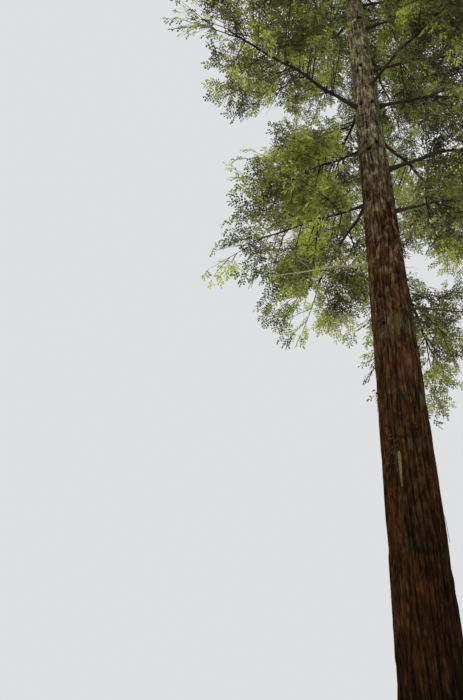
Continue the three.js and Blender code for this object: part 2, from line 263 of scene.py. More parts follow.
# Twigs: shares along the blade with their reach and their angle, and ranges of angle, length, rise and sag
SIDE_TWIG_REACH = ([-0.8, 0.0, 0.22, 0.5, 0.8, 1.0], [0.26, 0.38, 0.44, 0.37, 0.25, 0.14])
SIDE_TWIG_ANGLE = ([-0.5, 0.0, 1.0], [66, 58, 34])
SIDE_TWIG_TURN = 9
SIDE_TWIG_LENGTHS = (0.72, 1.1)
SIDE_TWIG_TILT = 0.28
SIDE_TWIG_SAGS = (0.0, 0.26)
STEM_TWIGS_PER_METRE = 7
STEM_TWIG_ANGLES = (48, 75)
STEM_TWIG_LENGTHS = (0.3, 0.62)
STEM_TWIG_RISES = (-0.55, 0.5)
BARE_TWIGS = {"dead_limb": 8, "bough": 9}
BARE_TWIG_ANGLES = (35, 80)
BARE_TWIG_LENGTHS = (0.15, 0.6)
BARE_TWIG_RISES = (-0.9, 0.4)
BARE_TWIG_SAG = 0.12
BARE_TWIG_RINGS = 5
TWIG_CUTS = (0.75, 0.65)
TWIG_SAG = 0.08

# Sprays of needles: teeth on a side and their widths, then how the sprays stand along a twig
TEETH = 2
TOOTH_WIDTHS = [0.24, 0.22]
RIB_LENGTH = 0.76
SPRAY_FORMS = 6
SPRAY_SPACING = 0.245
SPRAY_ANGLES = (42, 64)
TIP_SPRAY_ANGLES = (-14, 14)
SPRAY_TILT = 0.3
SPRAY_SAGS = (0.0, 0.35)
SPRAY_TWIST = 0.6
SPRAY_SIZES = (0.78, 1.2)
SPRAY_SIZE_ALONG = ([0, 0.4, 1], [0.8, 1.05, 0.85])
SPRAY_WIDEST, SPRAY_HALF_WIDTH = 0.45, 0.28
SPRAY_TO_TRUNK = 0.05

# Needle colours, from 0 for the darkest to 1 for the brightest, partly the needles' own tone and partly
# painted sunlight and shade
TINTS = 6
MIDDLE_TINT = 0.46
# Sprays far out are lighter: partly young growth and partly painted sunlight through them.
OUTER_BRIGHTNESS = 0.2
PAINTED_SUN_STRENGTH = 0.75
TINT_SPREAD = 0.12

# Where foliage is left out: under a bough's wood, and in small gaps, wider on the limbs named here
UNDERSIDE_DEPTH = 0.60
UNDERSIDE_SPREAD = 0.80
HOLE_LEVEL = -0.20
OPEN_LIMBS = {
    "bough_08": -0.06,
    "bough_13": 0.04,
    "bough_16": 0.03,
    "upper_03": 0.02,
    "upper_05": 0.04,
}
# Painted sunlight on the needles in patches, each with its limb, the share along it and the size of the patch
PAINTED_SUN_PATCHES = [
    ("bough_03", 0.50, 0.50),
    ("bough_04", 0.30, 0.40),
    ("bough_06", 0.34, 0.55),
    ("bough_07", 0.30, 0.45),
    ("bough_07", 0.50, 0.80),
    ("bough_08", 0.45, 0.60),
    ("bough_14", 0.92, 0.60),
    ("upper_02", 0.60, 0.50),
    ("upper_03", 0.45, 0.60),
]
NEEDLE_PIECES = {
    "needles_low": ("bough", 1, 4),
    "needles_lower_middle": ("bough", 5, 8),
    "needles_upper_middle": ("bough", 9, 12),
    "needles_high": ("bough", 13, 17),
    "needles_upper": ("upper", 1, 7),
    "needles_top": ("upper", 8, 22),
}

# Meshes and stage
MERGE_DISTANCE = 0.00001
BARK_SMOOTHING, LIMB_SMOOTHING = math.radians(60), math.radians(50)
MOST_FACES = 200000
FLOOR_RADIUS = 260
FLOOR_DROP = 0.004
KEY_LIGHT_PLACE = (-20, -30, 60)
KEY_LIGHT_TILT, KEY_LIGHT_TURN, KEY_LIGHT_WIDTH = 50, -42, 18
KEY_LIGHT_COLOUR = (1.0, 0.97, 0.92)
CAMERA_PLACE = (-3.11, -11.36, 1.39)
CAMERA_TILT, CAMERA_ROLL = 36.09, 2.43
SENSOR_WIDTH = 36.0
VIEW_DISTANCE = 1000


def paint(name, description, *default):
    """A colour that a user may change."""
    return bpy.props.FloatVectorProperty(
        name=name, description=description, default=default, size=3, min=0.0, max=1.0, subtype="COLOR",
    )


def metres(name, description, default, least, most):
    """A length that a user may change."""
    return bpy.props.FloatProperty(
        name=name, description=description, default=default, min=least, max=most, unit="LENGTH",
    )


class BarkSettings(bpy.types.PropertyGroup):
    furrow_depth: metres("Furrow depth", "Depth of the furrows at the trunk's foot", 0.060, 0.0, 0.15)
    furrow_spacing: metres("Furrow spacing", "Width of a ridge between two furrows", 0.095, 0.03, 0.4)
    furrow_length: metres("Furrow length", "How far a ridge runs before it joins the next", 1.9, 0.1, 4.0)
    # The bark's colour up the trunk: its own red-brown below and weathered grey among the boughs, with
    # painted shade deepening down the clear trunk to its foot.
    foot_bark_and_shade_colour: paint("Foot bark", "Bark at the foot of the trunk", 0.014, 0.0090, 0.0036)
    low_colour: paint("Low bark", "Bark some way up the clear trunk", 0.047, 0.0215, 0.0068)
    middle_colour: paint("Middle bark", "Bark below the lowest boughs", 0.075, 0.039, 0.0160)
    high_colour: paint("High bark", "Weathered bark among the lower boughs", 0.228, 0.200, 0.118)
    crown_colour: paint("Crown bark", "Grey-green bark further up among the boughs", 0.300, 0.300, 0.172)
    fibre_colour: paint("Fresh fibre", "Red fibres where the bark has frayed", 0.098, 0.030, 0.0098)
    film_colour: paint("Algae", "Green-grey film on the bark of the clear trunk", 0.120, 0.108, 0.050)
    furrow_colour: paint("Furrow", "Shaded bark deep in a furrow", 0.006, 0.0038, 0.002)
    # A knot's colour is its dark wood with painted shade in its hollow.
    knot_wood_and_shade_colour: paint("Knot", "Wood in the hollow of a knot", 0.008, 0.005, 0.003)
    torn_colour: paint("Torn bark", "Inner side of the torn strip", 0.158, 0.118, 0.046)
    frayed_colour: paint("Frayed bark", "Ends of frayed bark", 0.062, 0.044, 0.026)
    # Painted shade: a darker copy of the frayed bark's colour.
    shaded_frayed_colour: paint("Dark frayed bark", "Shaded ends of frayed bark", 0.022, 0.013, 0.007)


class BoughSettings(bpy.types.PropertyGroup):
    flake_depth: bpy.props.FloatProperty(
        name="Flake depth", description="Relief of the bark on a bough, as a share of its radius",
        default=0.16, min=0.0, max=0.5, subtype="FACTOR",
    )
    collar: bpy.props.FloatProperty(
        name="Collar", description="How much a bough swells where it leaves the trunk",
        default=0.6, min=0.0, max=1.5, subtype="FACTOR",
    )
    bark_colour: paint("Bough bark", "Bark of the living boughs", 0.040, 0.026, 0.014)
    dead_colour: paint("Dead wood", "Weathered wood of the dead limbs", 0.34, 0.30, 0.165)
    # The first dead limb's colour, darker than the dead wood: painted shade, as it is seen from below.
    shaded_dead_colour: paint("Dead bark", "Bark on the dead limb that still has it", 0.060, 0.046, 0.020)


class FoliageSettings(bpy.types.PropertyGroup):
    lower_spray: metres("Lower spray", "Length of a spray of needles on the boughs", 0.145, 0.05, 1.0)
    upper_spray: metres("Upper spray", "Length of a spray towards the top", 0.195, 0.05, 1.0)
    lower_twig_spacing: metres("Lower twig spacing", "Between side twigs on the boughs", 0.118, 0.03, 1.0)
    upper_twig_spacing: metres("Upper twig spacing", "Between side twigs further up", 0.145, 0.03, 1.0)
    # The needles' tints run between these: the dark end is old growth with painted shade, the bright end
    # young growth with painted sunlight.
    shade_colour: paint("Shaded needles", "Oldest and darkest sprays", 0.064, 0.068, 0.030)
    young_and_sunlit_colour: paint("Bright needles", "Youngest and brightest sprays", 0.66, 0.73, 0.135)
    twig_colour: paint("Twig bark", "Bark of the twigs", 0.075, 0.055, 0.030)


class StageSettings(bpy.types.PropertyGroup):
    floor_colour: paint("Floor", "Colour of the floor", 0.72, 0.728, 0.738)
    sky_colour: paint("Backdrop", "Colour of the light all round", 0.92, 0.93, 0.94)
    sky_strength: bpy.props.FloatProperty(
        name="Backdrop strength", description="Brightness of the light all round",
        default=0.80, min=0.0, max=5.0,
    )
    key_strength: bpy.props.FloatProperty(
        name="Key strength", description="Brightness of the soft key light",
        default=1.3, min=0.0, max=20.0,
    )
    lens: bpy.props.FloatProperty(
        name="Lens", description="Focal length of the camera",
        default=36.617, min=10.0, max=200.0, unit="CAMERA",
    )


# Numbers

def draws_from(seed):
    """The same draws each time as the solids have: a linear congruential generator."""
    state = seed

    def draw():
        nonlocal state
        state = (state * 1664525 + 1013904223) & 0xFFFFFFFF
        return state / 4294967296

    return draw


def between(draw, low, high):
    return low + (high - low) * draw()


def unit(vectors):
    return vectors / np.maximum(np.linalg.norm(vectors, axis=-1, keepdims=True), 1e-9)


def rotated(vector, axis, angle):
    """A vector turned about a unit axis, by an angle in radians."""
    cosine, sine = math.cos(angle), math.sin(angle)
    return vector * cosine + np.cross(axis, vector) * sine + axis * np.dot(axis, vector) * (1 - cosine)


def turned(direction, sideways, down):
    """A direction turned sideways about the vertical and then down by a slope, in degrees."""
    flat = rotated(direction, UP, math.radians(sideways))
    across = unit(np.cross(UP, flat))
    return rotated(flat, across, math.radians(down))


def gradient_noise(x, y, z, seed):
    """Smooth noise, mostly between -0.7 and 0.7, that changes sign about once a unit."""
    cells = [np.floor(axis).astype(np.int64) for axis in (x, y, z)]
    parts = [axis - cell for axis, cell in zip((x, y, z), cells)]
    ease = [part ** 3 * (part * (part * 6 - 15) + 10) for part in parts]
    total = np.zeros(np.shape(x))
    for corner in range(8):
        steps = [(corner >> axis) & 1 for axis in range(3)]
        mixed = (cells[0] + steps[0]) * 73856093
        mixed = mixed ^ ((cells[1] + steps[1]) * 19349663)
        mixed = mixed ^ ((cells[2] + steps[2]) * 83492791)
        mixed = (mixed ^ (seed * 7919)) & 0xFFFFFFFF
        mixed = ((mixed ^ (mixed >> 13)) * 1274126177) & 0xFFFFFFFF
        mixed = mixed ^ (mixed >> 16)
        lean = np.zeros(np.shape(x))
        weight = np.ones(np.shape(x))
        for axis in range(3):
            slope = ((mixed >> (10 * axis)) & 1023) / 511.5 - 1
            lean += slope * (parts[axis] - steps[axis])
            weight *= ease[axis] if steps[axis] else 1 - ease[axis]
        total += lean * weight
    return total


def uneven(x, y, z, sizes, seed):
    """Noise of a given depth that changes over a given width and height."""
    depth, width, rise = sizes
    return depth * gradient_noise(x / width, y / width, z / rise, seed)


# Trunk

def stem_drift(height):
    return STEM_SWEEP * (1 - np.exp(-height / SWEEP_HEIGHT))


def trunk_radius(height, angle):
    cone = TIP_RADIUS + (STEM_RADIUS - TIP_RADIUS) * (1 - height / TREE_HEIGHT)
    swell = BUTT_SWELL * np.exp(-height / BUTT_HEIGHT)
    spurs = 1 + SPUR_DEPTH * np.cos(ROOT_SPURS * angle + np.sin(2 * angle))
    return cone + swell + ROOT_FLARE * np.exp(-height / FLARE_HEIGHT) * spurs


def all_knots():
    """The named knots, and others by drawing, which stay off the side where the named ones are."""
    draw = draws_from(SEED * 3)
    knots = list(KNOTS)
    for _ in range(SCATTERED_KNOTS):
        height = between(draw, *KNOT_HEIGHTS)
        direction = between(draw, 0, 360)
        size = between(draw, *KNOT_SIZES) * (1.25 - 0.6 * height / TREE_HEIGHT)
        if NAMED_KNOTS_SIDE[0] < direction < NAMED_KNOTS_SIDE[1] and height < NAMED_KNOTS_TOP:
            direction = (direction + KNOT_MOVE) % 360
        knots.append((height, direction, size))
    return knots


def bark_surface(angle, height, settings):
    """The barked trunk's radius, how high each point is on its ridge, and how near it is to a knot."""
    mean = trunk_radius(height, angle)
    x, y = np.cos(angle) * mean, np.sin(angle) * mean
    drift = uneven(x, y, height, BARK_WANDER, 11)
    x, y = x + drift * np.sin(angle), y - drift * np.cos(angle)
    spacing, length = settings.furrow_spacing, settings.furrow_length
    broad = gradient_noise(x / spacing, y / spacing, height / length, 1)
    spacing, length = NARROW_SPACING * spacing, NARROW_LENGTH * length
    narrow = gradient_noise(x / spacing, y / spacing, height / length, 2)
    ridge = np.zeros(np.shape(angle))
    for noise, (share, flank, power) in ((broad, WIDE_RIDGE), (narrow, NARROW_RIDGE)):
        ridge += share * np.clip(np.abs(noise) / flank, 0, 1) ** power
    scale = np.clip(mean / FULL_RELIEF_RADIUS, 0, MOST_RELIEF)
    radius = mean + settings.furrow_depth * scale * (ridge - 1)
    radius += scale * (uneven(x, y, height, BARK_FRAY, 3) + uneven(x, y, height, BARK_SWELL, 4))
    scar = np.zeros(np.shape(angle))
    for knot_height, direction, size in all_knots():
        turn = (angle - math.radians(direction) + math.pi) % (2 * math.pi) - math.pi
        away = (turn * mean / size) ** 2 + ((height - knot_height) / (KNOT_STRETCH * size)) ** 2
        near = away < KNOT_EDGE
        lip, hollow = np.exp(-away[near] / LIP_WIDTH), np.exp(-away[near] * HOLLOW_FALL)
        radius[near] += size * (KNOT_LIP * lip - KNOT_HOLLOW * hollow)
        scar[near] = np.maximum(scar[near], np.exp(-away[near] * SCAR_FALL))
    return radius, np.clip(ridge, 0, 1), scar


# Limbs

def crown_reach(height):
    share = (height - CROWN_WIDEST) / (TREE_HEIGHT - CROWN_WIDEST)
    return CROWN_REACH * (1 - share) ** CROWN_TAPER


class Limb:
    """A limb that leaves the trunk's middle, sags along its length and bends aside."""

    def __init__(self, kind, name, number, height, direction, reach, rise, bare):
        self.kind, self.name, self.number = kind, name, number
        self.height, self.reach, self.bare = height, reach, bare
        self.draw = draws_from(SEED + number)
        swing = between(self.draw, -LIMB_SWING, LIMB_SWING) * reach
        turn = math.radians(direction)
        self.ahead = np.array([math.cos(turn), math.sin(turn), 0.0])
        self.aside = np.array([-math.sin(turn), math.cos(turn), 0.0])
        self.root = np.array([stem_drift(height), 0.0, height])
        self.middle = self.root + self.ahead * reach / 2 + self.aside * swing + UP * rise * reach / 2
        self.end = self.root + self.ahead * reach + UP * (rise - LIMB_SAG) * reach
        self.heart = self.point(HEART)
        self.crook = np.array([between(self.draw_crook(k), -1, 1) for k in range(4)])

    def draw_crook(self, k):
        return draws_from(SEED * 7 + self.number * 13 + k * 101)

    def point(self, t):
        t = np.asarray(t, float)[..., None]
        return self.root * (1 - t) ** 2 + self.middle * 2 * t * (1 - t) + self.end * t ** 2

    def tangent(self, t):
        t = np.asarray(t, float)[..., None]
        return unit((self.middle - self.root) * (1 - t) + (self.end - self.middle) * t)

    def radius(self, t):
        return LIMB_GIRTH * self.reach * (1 - (1 - LIMB_TIP_GIRTH) * np.asarray(t, float))

    def crooked(self, t):
        """How far the real limb strays from its smooth curve."""
        t = np.asarray(t, float)
        waves = [size * np.sin(turns * t + 3 * k) for (size, turns), k in zip(LIMB_CROOKS, self.crook)]
        fade = np.clip(t * 6, 0, 1) * self.reach
        aside, above = (waves[0] + waves[1]) * fade, (waves[2] + waves[3]) * fade
        return aside[..., None] * self.aside + above[..., None] * UP

    def wood(self, t):
        return self.point(t) + self.crooked(t)

    def leaves_trunk(self):
        """The share of the limb at which it comes out of the trunk."""
        return trunk_radius(self.height, 0) / self.reach


def make_limbs():
    rows = [("dead_limb", *row, 1.0) for row in BARE_LIMBS] + [("bough", *row) for row in LOWER_LIMBS]
    for step in range(UPPER_LIMBS):
        share = step / (UPPER_LIMBS - 1)
        climb = share + UPPER_CROWDING * share * (1 - share)
        height = FIRST_UPPER_LIMB + (LAST_UPPER_LIMB - FIRST_UPPER_LIMB) * climb
        direction = (SPIRAL_START + step * SPIRAL_STEP) % 360
        rise = LOWEST_UPPER_RISE + UPPER_RISE_GAIN * share ** 2
        rows.append(("upper", height, direction, crown_reach(height), rise, 0.0))
    counts = {"dead_limb": 0, "bough": 0, "upper": 0}
    limbs = []
    for number, (kind, *sizes) in enumerate(rows):
        counts[kind] += 1
        limbs.append(Limb(kind, f"{kind}_{counts[kind]:02d}", number, *sizes))
    return limbs


LIMBS = make_limbs()


def foot_share(limb):
    return max(limb.bare, limb.leaves_trunk())


def growth_share(limb):
    """The share of the limb at which its fine growth begins, a little nearer the trunk than its solid."""
    return max(foot_share(limb) - BACK_GROWTH, limb.leaves_trunk())


def share_along(limb, points):
    return ((points - limb.root) @ limb.ahead) / limb.reach


def space_of(limb):
    """The planes that shut a limb's mass in, as normals and offsets, and its solid's box."""
    normals, offsets = [], []
    for other in LIMBS:
        if other is limb or other.kind == "dead_limb":
            continue
        normal = unit(limb.heart - other.heart)
        normals.append(normal)
        offsets.append(np.dot(normal, (limb.heart + other.heart) / 2) + SPACE_GAP / 2)
    normals.append(limb.ahead)
    offsets.append(np.dot(limb.ahead, limb.root) + growth_share(limb) * limb.reach + SPACE_GAP)
    normals.append(-UP)
    offsets.append(-TREE_HEIGHT)
    low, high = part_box(f"{limb.name}_sprays")
    return np.array(normals), np.array(offsets), np.array(low), np.array(high)


def is_inside(points, space, overhang=OVERHANG):
    """Which points lie in a mass's space and near its solid's box."""
    normals, offsets, low, high = space
    clear = np.all(points @ normals.T >= offsets, axis=-1)
    low = np.maximum(low - overhang, CAD_BOX[0])
    high = np.minimum(high + overhang, CAD_BOX[1])
    return clear & np.all((points >= low) & (points <= high), axis=-1)


# Foliage

def grow_shoots(limb):
    """The limb's shoots by the solids' rule: place, direction, side, twig and blade of each."""
    space = space_of(limb)
    normals, offsets = space[:2]
    foot = foot_share(limb)
    full = min(max(SPRAY_REACH * limb.reach, SHORTEST_SPRAY), LONGEST_SPRAY)
    shoots = []

    def grow(at, heading, sideways, slopes, twig, size):
        for attempt in range(ATTEMPTS):
            spread = between(limb.draw, -HEADING_SPREAD, HEADING_SPREAD)
            direction = turned(heading, sideways + spread, between(limb.draw, *slopes))
            roll = math.radians(between(limb.draw, -SPRAY_ROLL, SPRAY_ROLL))
            across = rotated(np.cross(UP, direction), direction, roll)
            face = unit(np.cross(direction, across))
            side = np.cross(face, direction)
            scale = 1 - RETRY_SHRINK * attempt
            length, blade = twig * scale, full * size * scale
            rim = [at, at + direction * (length + blade)]
            for x, y in SPRAY_EDGE:
                for sign in (-1, 1):
                    rim.append(at + direction * (length + x * blade) + side * (sign * y * blade))
            is_clear = np.all(np.array(rim) @ normals.T >= offsets)
            if not is_clear or not is_inside(rim[1][None], space, 0.0)[0]:
                continue
            shoots.append((at, direction, side, length, blade))
            return at + direction * (length * FLANK_PLACE)
        return None

    twigs = TWIGS[limb.kind]
    for number in range(twigs):
        share = number / (twigs - 1)
        t = foot + FIRST_TWIG + (STEM_END - LAST_TWIG - foot - FIRST_TWIG) * share
        at, heading = limb.wood(t), limb.tangent(t)
        sign = 1 if number % 2 == 0 else -1
        sideways = sign * (TWIG_ANGLE - TWIG_CLOSING * share)
        twig = limb.reach * TWIG_REACH * (1 - TWIG_SHORTENING * share)
        size = 1 - SPRAY_SHORTENING * share
        flank = grow(at, heading, sideways, TWIG_SLOPES[number], twig, size)
        if flank is not None:
            grow(flank, heading, sideways + sign * FLANK_ANGLE, FLANK_SLOPES[number % 2], 0, FLANK_SPRAY)
        grow(at, heading, -sideways, STEM_SPRAY_SLOPES[number % 2], 0, STEM_SPRAY)
    last = STEM_END - TIP_SHOOT
    grow(limb.wood(last), limb.tangent(last), 0, TIP_SLOPES, TIP_TWIG * limb.reach, 1)
    return shoots


class Branchlet:
    """The wood along a shoot: nearly straight, drooping to its end."""

    def __init__(self, shoot, random, is_fork=False):
        self.at, self.direction, self.side, self.twig, self.blade = shoot
        self.is_fork = is_fork
        self.span = self.twig + self.blade
        self.face = np.cross(self.direction, self.side)
        self.droop = random.uniform(*BRANCHLET_DROOP) * self.blade
        self.bend = random.uniform(-BRANCHLET_BEND, BRANCHLET_BEND) * self.blade

    def point(self, distance):
        share = (np.asarray(distance, float) / self.span)[..., None]
        return (
            self.at + self.direction * share * self.span
            + self.side * self.bend * np.sin(share * math.pi)
            - UP * self.droop * share ** 2
        )


def forks_of(branchlet, space, random):
    """Finer branchlets that fork off one, up and down out of its plane, where there is room."""
    forks = []
    for place in FORK_PLACES:
        share = place + random.uniform(-0.05, 0.05)
        at = branchlet.point(share * branchlet.span)
        sign = random.choice([-1, 1])
        for attempt in range(FORK_ATTEMPTS):
            angle = math.radians(random.uniform(*FORK_ANGLES))
            tilt = random.uniform(-FORK_TILT, FORK_TILT)
            way = math.cos(angle) * branchlet.direction + sign * math.sin(angle) * branchlet.side
            way = unit(way + tilt * branchlet.face)
            span = branchlet.span * FORK_LENGTH * (1.15 - 0.5 * share) * (1 - FORK_SHRINK * attempt)
            if is_inside((at + way * span)[None], space)[0]:
                side = unit(np.cross(branchlet.face, way))
                side = rotated(side, way, random.uniform(-0.5, 0.5))
                forks.append(Branchlet((at, way, side, FORK_STALK * span, FORK_BLADE * span), random, True))
                break
            sign = -sign
    return forks


def fillers_of(limb, shoots, space, random):
    """Branchlets from the stem into the parts of its space that the other shoots leave open."""
    tips = [at + direction * (twig + blade) for at, direction, _, twig, blade in shoots]
    foot = foot_share(limb)
    fillers = []
    for _ in range(FILLERS[limb.kind]):
        best, room = None, 0.0
        for _ in range(FILL_ATTEMPTS):
            share = random.uniform(0.0, 1.0)
            t = foot + (FILL_END - foot) * share
            wide = FILL_WIDTH[limb.kind] * limb.reach * math.sqrt(1.0 - 0.85 * share ** 2)
            aside = random.uniform(-1, 1)
            deep = max(FILL_DEPTH[limb.kind] * limb.reach, FILL_LEAST_DEPTH) * (1 - 0.45 * aside ** 2)
            above = random.uniform(-1, 0.9) * deep
            target = limb.point(t) + limb.aside * aside * wide + UP * above
            gap = min((np.linalg.norm(target - tip) for tip in tips), default=1.0)
            if gap > room and is_inside(target[None], space)[0]:
                best, room, away = target, gap, math.hypot(aside * wide, above)
                start = min(max(t - FILL_SLANT * away / limb.reach, foot + 0.015), STEM_END - 0.02)
        if best is None:
            continue
        at = limb.wood(start)
        span = float(np.linalg.norm(best - at))
        if span < FILL_SHORTEST:
            continue
        way = (best - at) / span
        across = rotated(np.cross(UP, way), way, math.radians(random.uniform(-SPRAY_ROLL, SPRAY_ROLL)))
        side = np.cross(unit(np.cross(way, across)), way)
        fillers.append(Branchlet((at, way, side, 0.25 * span, 0.75 * span), random))
        tips.append(best)
    return fillers


def by_turns(steps):
    """One side and the other by turns, as 1 and -1."""
    return np.where(steps % 2 == 0, 1.0, -1.0)


def off_line(angle, ahead, side):
    """Directions at angles in radians to a line, within the plane of that line and a side."""
    return np.cos(angle)[:, None] * ahead + np.sin(angle)[:, None] * side


def side_twigs(branchlet, spacing, random):
    """Side twigs by turns along a branchlet, as long as the blade's outline is wide there."""
    start = 0.35 * branchlet.twig + 0.04 * branchlet.blade
    count = max(4, int((branchlet.span - start) / spacing))
    at = start + (branchlet.span * 0.98 - start) * (np.arange(count) + random.uniform(0, 0.6, count)) / count
    along = (at - branchlet.twig) / branchlet.blade
    length = branchlet.blade * np.interp(along, *SIDE_TWIG_REACH) * random.uniform(*SIDE_TWIG_LENGTHS, count)
    sign = by_turns(np.arange(count))
    turn = random.uniform(-SIDE_TWIG_TURN, SIDE_TWIG_TURN, count)
    angle = np.radians(np.interp(along, *SIDE_TWIG_ANGLE) + turn)
    way = off_line(angle, branchlet.direction, sign[:, None] * branchlet.side)
    way = way + random.uniform(-SIDE_TWIG_TILT, SIDE_TWIG_TILT, count)[:, None] * branchlet.face
    way = unit(way - UP * random.uniform(*SIDE_TWIG_SAGS, count)[:, None])
    face = unit(np.cross(way, np.cross(branchlet.face, way)))
    return branchlet.point(at), way, face, length


def stem_twigs(limb, random):
    """Twigs straight on the limb, between its branchlets."""
    count = int(limb.reach * STEM_TWIGS_PER_METRE)
    t = np.sort(random.uniform(growth_share(limb) + 0.02, STEM_END, count))
    heading = limb.tangent(t)
    across = by_turns(np.arange(count))[:, None] * unit(np.cross(UP, heading))
    way = off_line(np.radians(random.uniform(*STEM_TWIG_ANGLES, count)), heading, across)
    way = unit(way + UP * random.uniform(*STEM_TWIG_RISES, count)[:, None])
    face = unit(np.cross(way, np.cross(UP, way)))
    length = random.uniform(*STEM_TWIG_LENGTHS, count) * min(1.0, limb.reach / 3)
    return limb.wood(t), way, face, length


def bare_twigs(limb, random):
    """Dead twigs without needles on the bare part of a limb, as paths and girths."""
    count = BARE_TWIGS[limb.kind]
    end = 0.95 if limb.kind == "dead_limb" else limb.bare + 0.12
    t = random.uniform(limb.leaves_trunk() + 0.02, end, count)
    heading = limb.tangent(t)
    across = random.choice([-1.0, 1.0], count)[:, None] * unit(np.cross(UP, heading))
    way = off_line(np.radians(random.uniform(*BARE_TWIG_ANGLES, count)), heading, across)
    way = unit(way + UP * random.uniform(*BARE_TWIG_RISES, count)[:, None])
    length = random.uniform(*BARE_TWIG_LENGTHS, count)
    shares = np.linspace(0, 1, BARE_TWIG_RINGS)
    paths = limb.wood(t)[:, None] + way[:, None] * (shares[None, :, None] * length[:, None, None])
    paths = paths + random.normal(0, 0.02, paths.shape) * shares[None, :, None]
    paths = paths - UP * (BARE_TWIG_SAG * shares ** 2)[None, :, None] * length[:, None, None]
    return paths, (0.004 + 0.009 * length)[:, None] * (1 - 0.7 * shares)[None, :]


def twig_sprays(twigs, spray, random):
    """Sprays by turns along each twig and one at its tip, as place, axes and length."""
    foot, way, face, length = twigs
    count = np.maximum(2, np.round(length / (SPRAY_SPACING * spray)).astype(int))
    owner = np.repeat(np.arange(len(length)), count)
    step = np.arange(count.sum()) - np.repeat(np.cumsum(count) - count, count)
    share = (step + 0.7) / (count[owner] - 0.3)
    total = len(owner)
    straight = random.uniform(*TIP_SPRAY_ANGLES, total)
    aslant = by_turns(step) * (random.uniform(*SPRAY_ANGLES, total) - 10 * share)
    angle = np.radians(np.where(step == count[owner] - 1, straight, aslant))
    ahead = off_line(angle, way[owner], np.cross(face, way)[owner])
    ahead = ahead + random.uniform(-SPRAY_TILT, SPRAY_TILT, total)[:, None] * face[owner]
    ahead = unit(ahead - UP * random.uniform(*SPRAY_SAGS, total)[:, None])
    sag = TWIG_SAG * (share ** 2 * length[owner])[:, None] * UP
    at = foot[owner] + way[owner] * (share * length[owner])[:, None] - sag
    size = spray * random.uniform(*SPRAY_SIZES, total) * np.interp(share, *SPRAY_SIZE_ALONG)
    side = unit(np.cross(face[owner], ahead))
    twist = random.uniform(-SPRAY_TWIST, SPRAY_TWIST, total)
    side = unit(off_line(twist, side, np.cross(ahead, side)))
    return at, ahead, side, size


def spray_shapes():
    """Flat sprays one unit long: points on the midrib and tooth tips, with the same triangles."""
    shapes = []
    random = np.random.default_rng(SEED)
    ribs = np.linspace(0.0, RIB_LENGTH, TEETH + 1)
    for _ in range(SPRAY_FORMS):
        droop = random.uniform(0.04, 0.16)
        points = [(x, 0.0, -droop * x * x) for x in ribs]
        for sign in (1, -1):
            for rib, width in zip(ribs, TOOTH_WIDTHS):
                x = rib + random.uniform(0.28, 0.42)
                y = sign * width * random.uniform(0.75, 1.2)
                points.append((x, y, -droop * x * x + random.uniform(-0.06, 0.03)))
        points.append((1.0, random.uniform(-0.03, 0.03), -droop))
        shapes.append(points)
    faces = []
    for k in range(TEETH):
        faces.append((k, k + 1 + TEETH, k + 1))
        faces.append((k, k + 1, k + 1 + 2 * TEETH))
    faces.append((TEETH, 3 * TEETH, 3 * TEETH + 1))
    return np.array(shapes), np.array(faces)


SPRAY_SHAPES, SPRAY_FACES = spray_shapes()


def grow_foliage(limb, settings):
    """All of a limb's fine growth: branchlets, twigs and sprays that stay in the mass's space."""
    random = np.random.default_rng(SEED + 1000 + limb.number)
    lower = limb.kind == "bough"
    small = min(1.0, 0.5 + limb.reach / 6)
    spray = (settings.lower_spray if lower else settings.upper_spray) * small
    spacing = settings.lower_twig_spacing if lower else settings.upper_twig_spacing
    space = space_of(limb)
    shoots = grow_shoots(limb)
    branchlets = [Branchlet(shoot, random) for shoot in shoots]
    branchlets += [fork for branchlet in branchlets for fork in forks_of(branchlet, space, random)]
    branchlets += fillers_of(limb, shoots, space, random)
    rows = [side_twigs(branchlet, spacing * small, random) for branchlet in branchlets]
    rows.append(stem_twigs(limb, random))
    foot, way, face, length = (np.concatenate(column) for column in zip(*rows))
    for share in TWIG_CUTS:
        length[~is_inside(foot + way * length[:, None], space)] *= share
    middle = foot + way * (0.6 * length)[:, None]
    keeps = is_inside(foot + way * length[:, None], space) & ~is_hole(limb, middle) & ~is_under(limb, middle)
    twigs = foot[keeps], way[keeps], face[keeps], length[keeps]
    at, ahead, side, size = twig_sprays(twigs, spray, random)
    tips = at + ahead * size[:, None]
    wing = ahead * (SPRAY_WIDEST * size)[:, None]
    reach = side * (SPRAY_HALF_WIDTH * size)[:, None]
    keeps = is_inside(tips, space) & is_inside(at + wing + reach, space) & is_inside(at + wing - reach, space)
    away = np.hypot(tips[:, 0] - stem_drift(tips[:, 2]), tips[:, 1])
    keeps &= away > trunk_radius(tips[:, 2], 0) + SPRAY_TO_TRUNK
    keeps &= ~is_under(limb, at + wing)
    sprays = at[keeps], ahead[keeps], side[keeps], size[keeps]
    return branchlets, twigs, sprays, tints_for(limb, at[keeps], random)


def is_under(limb, points):
    """Which points hang under a bough's wood, where its flat layers of sprays leave it open to view."""
    if limb.kind != "bough":
        return np.zeros(len(points), bool)
    away = points - limb.wood(np.clip(share_along(limb, points), 0, STEM_END))
    below = -away[:, 2]
    near = np.abs(away @ limb.aside) < UNDERSIDE_SPREAD * below + 0.05
    return near & (below > 0.0) & (below < UNDERSIDE_DEPTH)


def is_hole(limb, points):
    """Which points lie in the small gaps that no twig grows through."""
    return uneven(*points.T, FOLIAGE_HOLES, 41) < OPEN_LIMBS.get(limb.name, HOLE_LEVEL)


